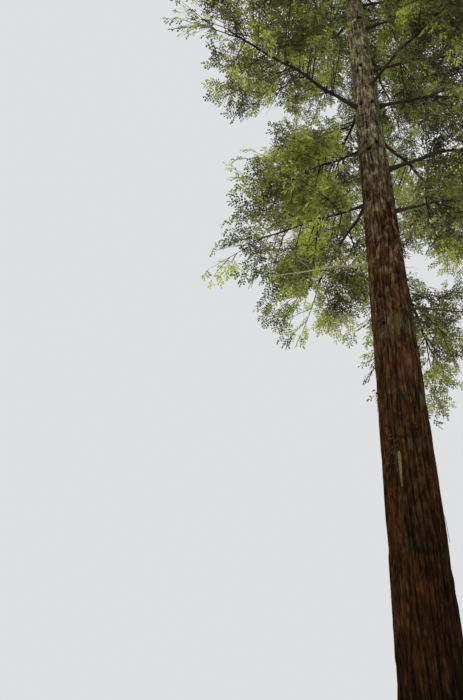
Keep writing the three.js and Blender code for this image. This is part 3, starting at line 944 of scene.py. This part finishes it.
def tints_for(limb, at, random):
    """Which needle colour each spray takes: its own tone at random, lighter far out where the growth is
    young, with painted sunlight far out, on limbs reaching away from the camera and in patches.
    """
    outward = np.clip(share_along(limb, at), 0, 1)
    # Painted sunlight on limbs that reach towards +Y, away from the camera, and a little towards -X.
    lit = 0.5 * limb.ahead[1] - 0.12 * limb.ahead[0]
    tone = MIDDLE_TINT + uneven(*at.T, TINT_CLUMPS, 31) + uneven(*at.T, TINT_DRIFT, 32)
    tone = tone + OUTER_BRIGHTNESS * (outward - 0.5) + 0.2 * lit
    # Painted sunlight in the listed patches.
    for name, share, size in PAINTED_SUN_PATCHES:
        if name == limb.name:
            away = np.linalg.norm(at - limb.point(share), axis=1) / size
            tone = tone + PAINTED_SUN_STRENGTH * np.exp(-away ** 2)
    tone = tone + random.normal(0, TINT_SPREAD, len(at))
    return np.clip((tone * TINTS).astype(int), 0, TINTS - 1)


# Meshes

def coordinates(mesh):
    flat = np.empty(len(mesh.vertices) * 3, np.float32)
    mesh.vertices.foreach_get("co", flat)
    return flat.reshape(-1, 3).astype(float)


def set_coordinates(mesh, points):
    mesh.vertices.foreach_set("co", np.asarray(points, np.float32).ravel())
    mesh.update()


def deselect_all():
    if bpy.context.object is not None and bpy.context.object.mode != "OBJECT":
        bpy.ops.object.mode_set(mode="OBJECT")
    bpy.ops.object.select_all(action="DESELECT")


def select_only(*pieces):
    deselect_all()
    for piece in pieces:
        piece.select_set(True)
    bpy.context.view_layer.objects.active = pieces[0]


def mesh_from_triangles(name, points, triangles, materials, indices=None, smooth=False):
    mesh = bpy.data.meshes.new(name)
    mesh.vertices.add(len(points))
    mesh.vertices.foreach_set("co", np.asarray(points, np.float32).ravel())
    mesh.loops.add(triangles.size)
    mesh.loops.foreach_set("vertex_index", triangles.astype(np.int32).ravel())
    mesh.polygons.add(len(triangles))
    mesh.polygons.foreach_set("loop_start", np.arange(0, triangles.size, 3, dtype=np.int32))
    for material in materials:
        mesh.materials.append(material)
    if indices is not None:
        mesh.polygons.foreach_set("material_index", indices.astype(np.int32))
    mesh.polygons.foreach_set("use_smooth", np.full(len(triangles), smooth))
    mesh.update(calc_edges=True)
    mesh.validate()
    piece = bpy.data.objects.new(name, mesh)
    bpy.context.scene.collection.objects.link(piece)
    return piece


def tapered_tubes(paths, radii, sides):
    """Closed tubes that end in a point, as one set of points and triangles. Paths all have the same count."""
    paths, radii = np.asarray(paths), np.asarray(radii)
    count, rings = paths.shape[0], paths.shape[1]
    forward = unit(paths[:, -1] - paths[:, 0])
    helper = np.where(np.abs(forward[:, 2:3]) > 0.9, np.array([[1.0, 0.0, 0.0]]), UP)
    across = unit(np.cross(helper, forward))
    above = np.cross(forward, across)
    angles = np.arange(sides) / sides * 2 * math.pi
    ring = (
        np.cos(angles)[None, :, None] * across[:, None, :]
        + np.sin(angles)[None, :, None] * above[:, None, :]
    )
    body = paths[:, :-1, None, :] + ring[:, None, :, :] * radii[:, :-1, None, None]
    body = body.reshape(count, -1, 3)
    points = np.concatenate([body, paths[:, -1:, :]], axis=1)
    faces = []
    for row in range(rings - 2):
        for side in range(sides):
            low, high, ahead = row * sides, (row + 1) * sides, (side + 1) % sides
            faces.append((low + side, low + ahead, high + ahead))
            faces.append((low + side, high + ahead, high + side))
    last, tip = (rings - 2) * sides, (rings - 1) * sides
    for side in range(sides):
        faces.append((last + side, last + (side + 1) % sides, tip))
    for side in range(2, sides):
        faces.append((0, side, side - 1))
    faces = np.array(faces)
    stride = points.shape[1]
    triangles = faces[None] + (np.arange(count) * stride)[:, None, None]
    return points.reshape(-1, 3), triangles.reshape(-1, 3)


def wood_tubes(name, parts, material):
    """Some sets of tubes as one piece of wood."""
    points, triangles, start = [], [], 0
    for some_points, some_triangles in parts:
        points.append(some_points)
        triangles.append(some_triangles + start)
        start += len(some_points)
    points, triangles = np.concatenate(points), np.concatenate(triangles)
    dress(mesh_from_triangles(name, points, triangles, [material], smooth=True), "bough_bark")


def join_up(pieces):
    """Several pieces as one, or the only one."""
    select_only(*pieces)
    if len(pieces) > 1:
        bpy.ops.object.join()
    return bpy.context.object


def close_shell(merges=True, fills=False):
    """Merges what meets, fills holes where asked, and turns the active piece's faces outwards."""
    bpy.ops.object.mode_set(mode="EDIT")
    bpy.ops.mesh.select_all(action="SELECT")
    if merges:
        bpy.ops.mesh.remove_doubles(threshold=MERGE_DISTANCE)
    if fills:
        bpy.ops.mesh.select_all(action="SELECT")
        bpy.ops.mesh.fill_holes(sides=0)
        bpy.ops.mesh.select_all(action="SELECT")
    bpy.ops.mesh.normals_make_consistent(inside=False)
    bpy.ops.object.mode_set(mode="OBJECT")


def coat(piece, name, material):
    """Names a piece and gives it one material."""
    piece.name = piece.data.name = name
    piece.data.materials.clear()
    piece.data.materials.append(material)


def dress(piece, slot, *nodes):
    """A finished piece rides on the tree and stands for its nodes; its slot is not used."""
    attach(piece, "root")
    if nodes:
        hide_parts(*nodes)
    if len(piece.data.polygons) > MOST_FACES:
        raise RuntimeError(f"{piece.name} has too many faces: {len(piece.data.polygons)}")
    return piece


# Materials

class Skin:
    """A node tree in the making, laid out in rows as its nodes are added."""

    def __init__(self, tree):
        self.tree = tree

    def feed(self, socket, value):
        """Links a socket to another one, or gives it a plain number or colour."""
        if isinstance(value, bpy.types.NodeSocket):
            self.tree.links.new(value, socket)
        elif isinstance(value, (int, float)):
            socket.default_value = value
        else:
            socket.default_value = (*value, 1.0)

    def add(self, kind, **values):
        """A node with its settings and inputs, which are sockets or plain values."""
        node = self.tree.nodes.new(kind)
        row, column = divmod(len(self.tree.nodes), 8)
        node.location = 240 * column, -360 * row
        for key, value in values.items():
            if hasattr(node, key):
                setattr(node, key, value)
            else:
                self.feed(node.inputs[key], value)
        return node

    def mix(self, factor, first, second, blend="MIX"):
        node = self.add("ShaderNodeMix", data_type="RGBA", blend_type=blend)
        for index, value in ((0, factor), (6, first), (7, second)):
            self.feed(node.inputs[index], value)
        return node.outputs[2]

    def times(self, first, second):
        return self.mix(1.0, first, second, "MULTIPLY")

    def number(self, operation, first, second, third=0.0, clamp=False):
        node = self.add("ShaderNodeMath", operation=operation, use_clamp=clamp)
        for socket, value in zip(node.inputs, (first, second, third)):
            self.feed(socket, value)
        return node.outputs[0]

    def ramp(self, factor, *stops):
        """Colours, or greys given as one number, at places along a factor."""
        node = self.add("ShaderNodeValToRGB")
        elements = node.color_ramp.elements
        while len(elements) < len(stops):
            elements.new(0.5)
        for element, (position, colour) in zip(elements, stops):
            element.position = position
            element.color = (*colour, 1.0) if isinstance(colour, tuple) else (colour, colour, colour, 1.0)
        self.feed(node.inputs[0], factor)
        return node.outputs[0]

    def fibre(self, vector, width, stretch):
        node = self.add("ShaderNodeGroup", node_tree=fibre_group())
        for name, value in (("Vector", vector), ("Fibre width", width), ("Stretch", stretch)):
            self.feed(node.inputs[name], value)
        return node.outputs

    def cover(self, shader, colour, relief, strength, distance):
        """Gives the shader its colour and a bump from the relief."""
        self.feed(shader.inputs["Base Color"], colour)
        node = self.add("ShaderNodeBump", Strength=strength, Distance=distance, Height=relief)
        self.feed(shader.inputs["Normal"], node.outputs[0])


def fibre_group():
    """Frayed bark: long fibres, short flecks and soft blotches, along Z of the vector it is given."""
    group = bpy.data.node_groups.get("Bark fibre")
    if group is not None:
        return group
    group = bpy.data.node_groups.new("Bark fibre", "ShaderNodeTree")
    sockets = group.interface
    sockets.new_socket("Vector", in_out="INPUT", socket_type="NodeSocketVector")
    for name, value in (("Fibre width", 0.02), ("Stretch", 0.06)):
        sockets.new_socket(name, in_out="INPUT", socket_type="NodeSocketFloat").default_value = value
    for name in ("Fibre", "Fleck", "Blotch"):
        sockets.new_socket(name, in_out="OUTPUT", socket_type="NodeSocketFloat")
    skin = Skin(group)
    given = skin.add("NodeGroupInput").outputs
    result = skin.add("NodeGroupOutput").inputs
    vector = given["Vector"]
    squash = skin.add("ShaderNodeCombineXYZ", X=1.0, Y=1.0, Z=given["Stretch"])
    drawn = skin.add("ShaderNodeVectorMath", operation="MULTIPLY")
    skin.feed(drawn.inputs[0], vector)
    skin.feed(drawn.inputs[1], squash.outputs[0])
    scale = skin.number("DIVIDE", 1.0, given["Fibre width"])
    fibre = skin.add(
        "ShaderNodeTexNoise", Vector=drawn.outputs[0], Scale=scale, Detail=5.0, Roughness=0.6,
        Distortion=0.25,
    )
    fleck = skin.add("ShaderNodeTexNoise", Vector=vector, Scale=scale, Detail=3.0, Roughness=0.7)
    blotch = skin.add("ShaderNodeTexNoise", Vector=vector, Scale=1.3, Detail=4.0, Roughness=0.55)
    skin.feed(result["Fibre"], skin.number("MULTIPLY_ADD", fibre.outputs[0], 2.2, -0.6, clamp=True))
    skin.feed(result["Fleck"], fleck.outputs[0])
    skin.feed(result["Blotch"], blotch.outputs[0])
    return group


def new_material(name, roughness, specular):
    """A material, its node tree to add to, its shader and the Object coordinates."""
    material = bpy.data.materials.new(name)
    material.use_nodes = True
    skin = Skin(material.node_tree)
    shader = material.node_tree.nodes["Principled BSDF"]
    shader.inputs["Roughness"].default_value = roughness
    shader.inputs["Specular IOR Level"].default_value = specular
    return material, skin, shader, skin.add("ShaderNodeTexCoord").outputs["Object"]


def trunk_material(settings):
    """Furrowed bark: dark red-brown below under painted shade that deepens to the foot, weathered to a
    mottled grey-tan among the boughs.
    """
    material, skin, shader, place = new_material("trunk_bark", 0.95, 0.03)
    fine = skin.fibre(place, 0.014, 0.04)
    broad = skin.fibre(place, 0.045, 0.055)
    mottle = skin.fibre(place, 0.10, 0.35)
    speck = skin.fibre(place, 0.034, 0.26)
    ridge = skin.add("ShaderNodeAttribute", attribute_name="ridge").outputs["Fac"]
    knot = skin.add("ShaderNodeAttribute", attribute_name="knot").outputs["Fac"]
    height = skin.add("ShaderNodeSeparateXYZ", Vector=place).outputs["Z"]
    up = skin.number("DIVIDE", height, TREE_HEIGHT)
    up = skin.number("ADD", up, skin.number("MULTIPLY_ADD", mottle["Blotch"], 0.14, -0.07), clamp=True)
    below = skin.ramp(up, (0.09, 0.1), (0.17, 0.6), (0.24, 1), (0.34, 0.55), (0.40, 0.05))
    above = skin.ramp(up, (0.22, 0), (0.34, 0.35), (0.42, 0.9))
    foot, low, middle, high, crown = (tuple(colour) for colour in (
        settings.foot_bark_and_shade_colour, settings.low_colour, settings.middle_colour, settings.high_colour,
        settings.crown_colour,
    ))
    # Bark tone by height, with painted shade deepening down the clear trunk to the foot.
    bark = skin.ramp(
        up, (0.0, foot), (0.085, foot), (0.165, low), (0.29, middle), (0.345, middle), (0.405, high),
        (0.50, high), (0.56, crown), (0.75, crown), (1.0, middle),
    )
    # Painted shade where the fibre bump is low; on its high parts, pale fibre with painted highlight.
    dark, light = skin.times(bark, FURROW_SHADE), skin.times(bark, RIDGE_PALENESS_AND_HIGHLIGHT)
    bark = skin.mix(skin.ramp(broad["Fibre"], (0.10, 1), (0.46, 0)), bark, dark)
    bark = skin.mix(skin.ramp(broad["Fibre"], (0.54, 0), (0.98, 1)), bark, light)
    bark = skin.times(bark, skin.ramp(fine["Fibre"], (0.1, 0.45), (0.9, 1.0)))
    bark = skin.times(bark, skin.ramp(speck["Fibre"], (0.18, DARK_CHIP), (0.50, 0.95), (0.85, LIGHT_CHIP)))
    frayed = skin.number("MULTIPLY", skin.ramp(mottle["Blotch"], (0.48, 0), (0.60, 0.85)), below)
    frayed = skin.number("MULTIPLY", frayed, broad["Fibre"], clamp=True)
    bark = skin.mix(frayed, bark, settings.fibre_colour)
    film = skin.number("MULTIPLY", skin.ramp(mottle["Blotch"], (0.36, 0.75), (0.45, 0)), below)
    film = skin.number("MULTIPLY", film, speck["Fibre"], clamp=True)
    bark = skin.mix(film, bark, settings.film_colour)
    pale = skin.number("MULTIPLY", skin.ramp(mottle["Fibre"], (0.50, 0), (0.85, 1)), above)
    bark = skin.mix(pale, bark, tuple(min(1.0, value * 1.45) for value in high))
    spot = skin.number("MULTIPLY", skin.ramp(mottle["Fleck"], (0.36, 1), (0.46, 0)), above)
    bark = skin.mix(spot, bark, tuple(value * 0.5 for value in middle))
    bark = skin.times(bark, skin.ramp(mottle["Fibre"], (0.15, 0.55), (0.9, PALE_PATCH)))
    bark = skin.mix(skin.ramp(ridge, (0.15, 1), (0.72, 0)), bark, settings.furrow_colour)
    # Dark knot wood with painted shade in the knots' hollows.
    bark = skin.mix(skin.number("MULTIPLY", knot, 1.6, clamp=True), bark, settings.knot_wood_and_shade_colour)
    skin.cover(shader, bark, broad["Fibre"], 0.9, 0.02)
    return material


def wood_material(name, colour, pale_share, width=0.02):
    """Flaky bark on a limb, with pale flecks, and dark cracks where its bump is low: painted shade."""
    material, skin, shader, place = new_material(name, 0.9, 0.15)
    fibre = skin.fibre(place, width, 0.8)
    colour = tuple(colour)
    pale = tuple(min(1.0, value * 2.0 + 0.02) for value in colour)
    dark = tuple(value * 0.4 for value in colour)
    wood = skin.ramp(fibre["Fibre"], (0.05, dark), (0.5, colour), (1.0, pale))
    wood = skin.mix(skin.ramp(fibre["Blotch"], (0.45, 0), (0.7, pale_share)), wood, pale)
    skin.cover(shader, wood, fibre["Fibre"], 0.8, 0.01)
    return material


def needle_materials(settings):
    """One plain colour a spray, in steps from the shaded to the bright one, with fine flecks."""
    shade, light = np.array(settings.shade_colour), np.array(settings.young_and_sunlit_colour)
    materials = []
    for step in range(TINTS):
        share = step / (TINTS - 1)
        colour = shade ** (1 - share) * light ** share
        dark, bright = tuple(colour * 0.72), tuple(np.minimum(colour * 1.35, 1))
        material, skin, shader, place = new_material(f"needles_{step + 1}", 0.7, 0.12)
        fleck = skin.add("ShaderNodeTexNoise", Vector=place, Scale=22.0, Detail=2.0)
        needle = skin.ramp(fleck.outputs[0], (0.30, dark), (0.55, tuple(colour)), (0.78, bright))
        skin.feed(shader.inputs["Base Color"], needle)
        materials.append(material)
    return materials


# Pieces

class REDWOOD_OT_trunk_bark(bpy.types.Operator):
    """Wraps the trunk in furrowed bark, in a lower and an upper piece"""

    bl_idname = "redwood.trunk_bark"
    bl_label = "Trunk bark"

    def wrap(self, name, low, high, settings, material):
        deselect_all()
        bpy.ops.mesh.primitive_grid_add(x_subdivisions=BARK_SIDES, y_subdivisions=BARK_ROWS, size=2)
        piece = bpy.context.object
        flat = coordinates(piece.data)
        angle = (flat[:, 0] + 1) * math.pi
        angle[flat[:, 0] > 0.99999] = 0.0
        height = low + (high - low) * (flat[:, 1] + 1) / 2
        radius, ridge, scar = bark_surface(angle, height, settings)
        across = stem_drift(height) + np.cos(angle) * radius
        set_coordinates(piece.data, np.stack([across, np.sin(angle) * radius, height], axis=1))
        for label, values in (("ridge", ridge), ("knot", scar)):
            attribute = piece.data.attributes.new(label, "FLOAT", "POINT")
            attribute.data.foreach_set("value", values.astype(np.float32))
        close_shell(fills=True)
        bpy.ops.object.shade_smooth_by_angle(angle=BARK_SMOOTHING)
        coat(piece, name, material)
        dress(piece, "trunk_bark", "trunk")

    def execute(self, context):
        settings = context.scene.redwood_bark
        material = trunk_material(settings)
        self.wrap("trunk_bark_lower", 0.0, LOWER_BARK_TOP, settings, material)
        self.wrap("trunk_bark_upper", LOWER_BARK_TOP, TREE_HEIGHT, settings, material)
        return {"FINISHED"}


class REDWOOD_OT_torn_bark(bpy.types.Operator):
    """Hangs a torn strip of bark on the trunk, with the frayed ends of others round it"""

    bl_idname = "redwood.torn_bark"
    bl_label = "Torn bark"

    def execute(self, context):
        settings = context.scene.redwood_bark
        draw = draws_from(SEED * 5)
        frayed = self.drawn_rows(draw, FRAYED_GROUPS, SHRED_SIZES)
        dark = self.drawn_rows(draw, DARK_FRAYED_GROUPS, SHRED_SIZES)
        loose = self.drawn_rows(draw, LOOSE_GROUPS, LOOSE_SIZES)
        for name, rows, colour, pale_share in (
            ("torn_bark", [TORN_STRIP], settings.torn_colour, 0.5),
            ("frayed_bark", frayed, settings.frayed_colour, 0.4),
            ("dark_frayed_bark", dark, settings.shaded_frayed_colour, 0.4),
        ):
            self.hang(name, rows, wood_material(name, colour, pale_share, 0.012), settings)
        bark = bpy.data.objects["trunk_bark_lower"].data.materials[0]
        strips = self.hang("loose_bark", loose, bark, settings)
        ridge = strips.data.attributes.new("ridge", "FLOAT", "POINT")
        ridge.data.foreach_set("value", np.ones(len(strips.data.vertices), np.float32))
        return {"FINISHED"}

    def drawn_rows(self, draw, groups, sizes):
        """Height, direction, length, width, lift, lean and curl of each strip in some groups."""
        return [
            [between(draw, *limits) for limits in (heights, directions, *sizes)]
            for count, heights, directions in groups for _ in range(count)
        ]

    def hang(self, name, rows, material, settings):
        strips = join_up([self.strip(*row, settings) for row in rows])
        coat(strips, name, material)
        return dress(strips, "trunk_bark")

    def strip(self, height, direction, length, width, lift, lean, curl, settings):
        """A narrow strip that hangs by its upper end, leans, curls aside and stands off lower down."""
        deselect_all()
        bpy.ops.mesh.primitive_grid_add(x_subdivisions=3, y_subdivisions=10, size=1)
        piece = bpy.context.object
        flat = coordinates(piece.data)
        down = 0.5 - flat[:, 1]
        taper = np.interp(down, *STRIP_TAPER)
        centre = math.radians(direction)
        heading = lean + curl * down
        across = length * (math.cos(lean) - np.cos(heading)) / curl
        across = across + flat[:, 0] * width * taper * np.cos(heading)
        fall = length * (np.sin(heading) - math.sin(lean)) / curl
        z = height - fall + flat[:, 0] * width * taper * np.sin(heading)
        radius, _, _ = bark_surface(np.full(len(z), centre), z, settings)
        outward = radius + STRIP_GAP + lift * down ** 1.6 + 0.25 * width * (2 * flat[:, 0]) ** 2
        forward = np.array([math.cos(centre), math.sin(centre), 0.0])
        aside = np.array([-math.sin(centre), math.cos(centre), 0.0])
        points = forward * outward[:, None] + aside * across[:, None]
        points[:, 0] += stem_drift(z)
        points[:, 2] = z
        set_coordinates(piece.data, points)
        solidify = piece.modifiers.new("Thickness", "SOLIDIFY")
        solidify.thickness = max(0.004, width * 0.16)
        solidify.offset = 0
        bpy.ops.object.modifier_apply(modifier="Thickness")
        close_shell(merges=False)
        return piece


class REDWOOD_OT_boughs(bpy.types.Operator):
    """Makes the dead limbs, the boughs and the stems of the upper masses, with their bark"""

    bl_idname = "redwood.boughs"
    bl_label = "Boughs"

    def limb_piece(self, limb, settings):
        """A tapering curve made a mesh, bent as the limb is and roughened by its flakes."""
        end = DEAD_WOOD_END if limb.kind == "dead_limb" else LIVING_WOOD_END
        deselect_all()
        bpy.ops.curve.primitive_bezier_curve_add(radius=1)
        curve = bpy.context.object
        curve.data.dimensions = "3D"
        first, last = curve.data.splines[0].bezier_points
        start, middle, finish = limb.point(0.0), limb.root * (1 - end) + limb.middle * end, limb.point(end)
        taper = float(limb.radius(end) / limb.radius(0.0))
        for point, at, sign, radius in ((first, start, 1, 1.0), (last, finish, -1, taper)):
            toward = sign * (middle - at) * 2 / 3
            point.handle_left_type = point.handle_right_type = "FREE"
            point.co, point.handle_left, point.handle_right = at, at - toward, at + toward
            point.radius = radius
        curve.data.bevel_depth = float(limb.radius(0.0))
        curve.data.bevel_resolution = 4
        curve.data.resolution_u = 48 if limb.kind == "bough" else 30
        curve.data.use_fill_caps = True
        bpy.ops.object.convert(target="MESH")
        piece = bpy.context.object
        points = coordinates(piece.data)
        share = np.clip(share_along(limb, points), 0, 1)
        axis = limb.point(share)
        past = np.maximum(share - limb.leaves_trunk(), 0) * limb.reach
        collar = 1 + settings.collar * np.exp(-past / (COLLAR_LENGTH * limb.radius(0.0)))
        flakes = uneven(*points.T, BOUGH_FLAKES, 21) + uneven(*points.T, BOUGH_LUMPS, 22)
        girth = STOUT_LIMBS.get(limb.name, 1.0) * collar * (1 + settings.flake_depth * flakes)
        set_coordinates(piece.data, axis + limb.crooked(share) + (points - axis) * girth[:, None])
        if limb.kind == "dead_limb":
            self.break_end(piece, limb)
        return piece

    def break_end(self, piece, limb):
        """Draws the end of a dead limb out into a splintered point."""
        points = coordinates(piece.data)
        near = share_along(limb, points) > SPLINTERED_FROM
        points[near] += limb.ahead * uneven(*points.T, SPLINTERS, 23)[near][:, None]
        set_coordinates(piece.data, points)

    def join_limbs(self, name, pieces, material, *nodes):
        whole = join_up(pieces)
        close_shell()
        bpy.ops.object.shade_smooth_by_angle(angle=LIMB_SMOOTHING)
        coat(whole, name, material)
        dress(whole, "bough_bark", *nodes)

    def execute(self, context):
        settings = context.scene.redwood_boughs
        bark = wood_material("bough_bark", settings.bark_colour, 0.35)
        weathered = wood_material("dead_wood", settings.dead_colour, 0.5)
        shaded_dead_finish = wood_material("dead_limb_bark", settings.shaded_dead_colour, 0.3)
        dead, boughs, uppers = (
            [self.limb_piece(limb, settings) for limb in LIMBS if limb.kind == kind] for kind in KINDS
        )
        # The first dead limb takes a darker colour than the other dead wood: painted shade.
        self.join_limbs("dead_limb_bark", dead[:1], shaded_dead_finish, "dead_limb_01")
        self.join_limbs("dead_limb_wood", dead[1:], weathered, "dead_limb_02", "dead_limb_03")
        self.join_limbs("bough_bark", boughs, bark, *[limb.name for limb in LIMBS if limb.kind == "bough"])
        self.join_limbs("upper_stem_bark", uppers, bark)
        random = np.random.default_rng(SEED + 500)
        rows = [bare_twigs(limb, random) for limb in LIMBS if limb.kind != "upper"]
        paths, radii = (np.concatenate(column) for column in zip(*rows))
        wood_tubes("bare_twigs", [tapered_tubes(paths, radii, 4)], weathered)
        return {"FINISHED"}


class REDWOOD_OT_foliage(bpy.types.Operator):
    """Grows the branchlets, twigs and needle sprays of every mass"""

    bl_idname = "redwood.foliage"
    bl_label = "Foliage"

    def execute(self, context):
        settings = context.scene.redwood_foliage
        grown = {limb.name: grow_foliage(limb, settings) for limb in LIMBS if limb.kind != "dead_limb"}
        needles = needle_materials(settings)
        twig_bark = wood_material("twig_bark", settings.twig_colour, 0.2, 0.01)
        self.make_branchlets(grown, context.scene.redwood_boughs)
        for name, kind in (("lower_twigs", "bough"), ("upper_twigs", "upper")):
            self.make_twigs(name, [row for key, row in grown.items() if key.startswith(kind)], twig_bark)
        for name, (kind, first, last) in NEEDLE_PIECES.items():
            members = [f"{kind}_{index:02d}" for index in range(first, last + 1)]
            self.make_needles(name, [grown[member] for member in members], members, needles)
        return {"FINISHED"}

    def make_branchlets(self, grown, settings):
        bark = wood_material("branchlet_bark", settings.bark_colour, 0.2, 0.014)
        parts = []
        for is_fork, rings, sides in ((False, 7, 4), (True, 4, 3)):
            shares = np.linspace(0, 0.96, rings)
            chosen = [one for row in grown.values() for one in row[0] if one.is_fork == is_fork]
            paths = [one.point(shares * one.span) for one in chosen]
            radii = [(BRANCHLET_GIRTH + GIRTH_GAIN * one.span) * (1 - 0.8 * shares) for one in chosen]
            parts.append(tapered_tubes(paths, radii, sides))
        wood_tubes("branchlets", parts, bark)

    def make_twigs(self, name, rows, material):
        parts = []
        for _, (foot, way, _, length), _, _ in rows:
            paths = np.stack([foot, foot + (way - TWIG_SAG * UP) * length[:, None]], axis=1)
            radii = np.repeat((0.0030 + 0.0045 * length)[:, None], 2, axis=1)
            parts.append(tapered_tubes(paths, radii, 3))
        wood_tubes(name, parts, material)

    def make_needles(self, name, rows, members, materials):
        at, ahead, side, size = (np.concatenate(column) for column in zip(*[row[2] for row in rows]))
        tint = np.concatenate([row[3] for row in rows])
        face = np.cross(ahead, side)
        shapes = SPRAY_SHAPES[np.arange(len(at)) % len(SPRAY_SHAPES)] * size[:, None, None]
        points = at[:, None, :] + (
            shapes[:, :, 0:1] * ahead[:, None, :]
            + shapes[:, :, 1:2] * side[:, None, :]
            + shapes[:, :, 2:3] * face[:, None, :]
        )
        triangles = SPRAY_FACES[None] + (np.arange(len(at)) * points.shape[1])[:, None, None]
        indices = np.repeat(tint, len(SPRAY_FACES))
        piece = mesh_from_triangles(name, points.reshape(-1, 3), triangles.reshape(-1, 3), materials, indices)
        dress(piece, "needles", *[f"{member}_sprays" for member in members])


class REDWOOD_OT_stage(bpy.types.Operator):
    """Sets the pale floor, the soft light and the camera"""

    bl_idname = "redwood.stage"
    bl_label = "Stage"

    def execute(self, context):
        settings = context.scene.redwood_stage
        deselect_all()
        bpy.ops.mesh.primitive_circle_add(
            vertices=96, radius=FLOOR_RADIUS, fill_type="NGON", location=(0, 0, -FLOOR_DROP),
        )
        floor = bpy.context.object
        bpy.ops.object.transform_apply(location=True, rotation=False, scale=False)
        material, _, shader, _ = new_material("floor", 0.85, 0.2)
        shader.inputs["Base Color"].default_value = (*settings.floor_colour, 1.0)
        coat(floor, "floor", material)
        world = context.scene.world or bpy.data.worlds.new("Backdrop")
        context.scene.world = world
        world.use_nodes = True
        backdrop = world.node_tree.nodes["Background"]
        backdrop.inputs["Color"].default_value = (*settings.sky_colour, 1.0)
        backdrop.inputs["Strength"].default_value = settings.sky_strength
        bpy.ops.object.light_add(type="SUN", location=KEY_LIGHT_PLACE)
        key = bpy.context.object
        key.name = "key_light"
        key.rotation_euler = (math.radians(KEY_LIGHT_TILT), 0, math.radians(KEY_LIGHT_TURN))
        key.data.energy = settings.key_strength
        key.data.angle = math.radians(KEY_LIGHT_WIDTH)
        key.data.color = KEY_LIGHT_COLOUR
        bpy.ops.object.camera_add()
        camera = bpy.context.object
        camera.name = "camera"
        tilt = Matrix.Rotation(math.radians(90 + CAMERA_TILT), 4, "X")
        roll = Matrix.Rotation(math.radians(CAMERA_ROLL), 4, "Z")
        camera.matrix_world = Matrix.Translation(CAMERA_PLACE) @ tilt @ roll
        camera.data.sensor_width = SENSOR_WIDTH
        camera.data.lens = settings.lens
        camera.data.clip_end = VIEW_DISTANCE
        context.scene.camera = camera
        context.scene.view_settings.view_transform = "Standard"
        return {"FINISHED"}


class REDWOOD_PT_tree(bpy.types.Panel):
    """The steps that make the tree, in order"""

    bl_idname = "REDWOOD_PT_tree"
    bl_label = "Coast redwood"
    bl_space_type = "VIEW_3D"
    bl_region_type = "UI"
    bl_category = "Redwood"

    def draw(self, context):
        for step, group in STEPS:
            self.layout.operator(step.bl_idname)
            if group:
                settings = getattr(context.scene, group)
                for name in settings.bl_rna.properties.keys():
                    if name not in ("rna_type", "name"):
                        self.layout.prop(settings, name)


STEPS = [
    (REDWOOD_OT_stage, "redwood_stage"),
    (REDWOOD_OT_trunk_bark, "redwood_bark"),
    (REDWOOD_OT_torn_bark, None),
    (REDWOOD_OT_boughs, "redwood_boughs"),
    (REDWOOD_OT_foliage, "redwood_foliage"),
]
SETTINGS = {
    "redwood_stage": StageSettings,
    "redwood_bark": BarkSettings,
    "redwood_boughs": BoughSettings,
    "redwood_foliage": FoliageSettings,
}


def register():
    for name, group in SETTINGS.items():
        bpy.utils.register_class(group)
        setattr(bpy.types.Scene, name, bpy.props.PointerProperty(type=group))
    for step, _ in STEPS:
        bpy.utils.register_class(step)
    bpy.utils.register_class(REDWOOD_PT_tree)


def unregister():
    bpy.utils.unregister_class(REDWOOD_PT_tree)
    for step, _ in reversed(STEPS):
        bpy.utils.unregister_class(step)
    for name, group in reversed(list(SETTINGS.items())):
        delattr(bpy.types.Scene, name)
        bpy.utils.unregister_class(group)


def main():
    register()
    bpy.ops.redwood.stage()
    bpy.ops.redwood.trunk_bark()
    bpy.ops.redwood.torn_bark()
    bpy.ops.redwood.boughs()
    bpy.ops.redwood.foliage()


if __name__ == "__main__":
    main()
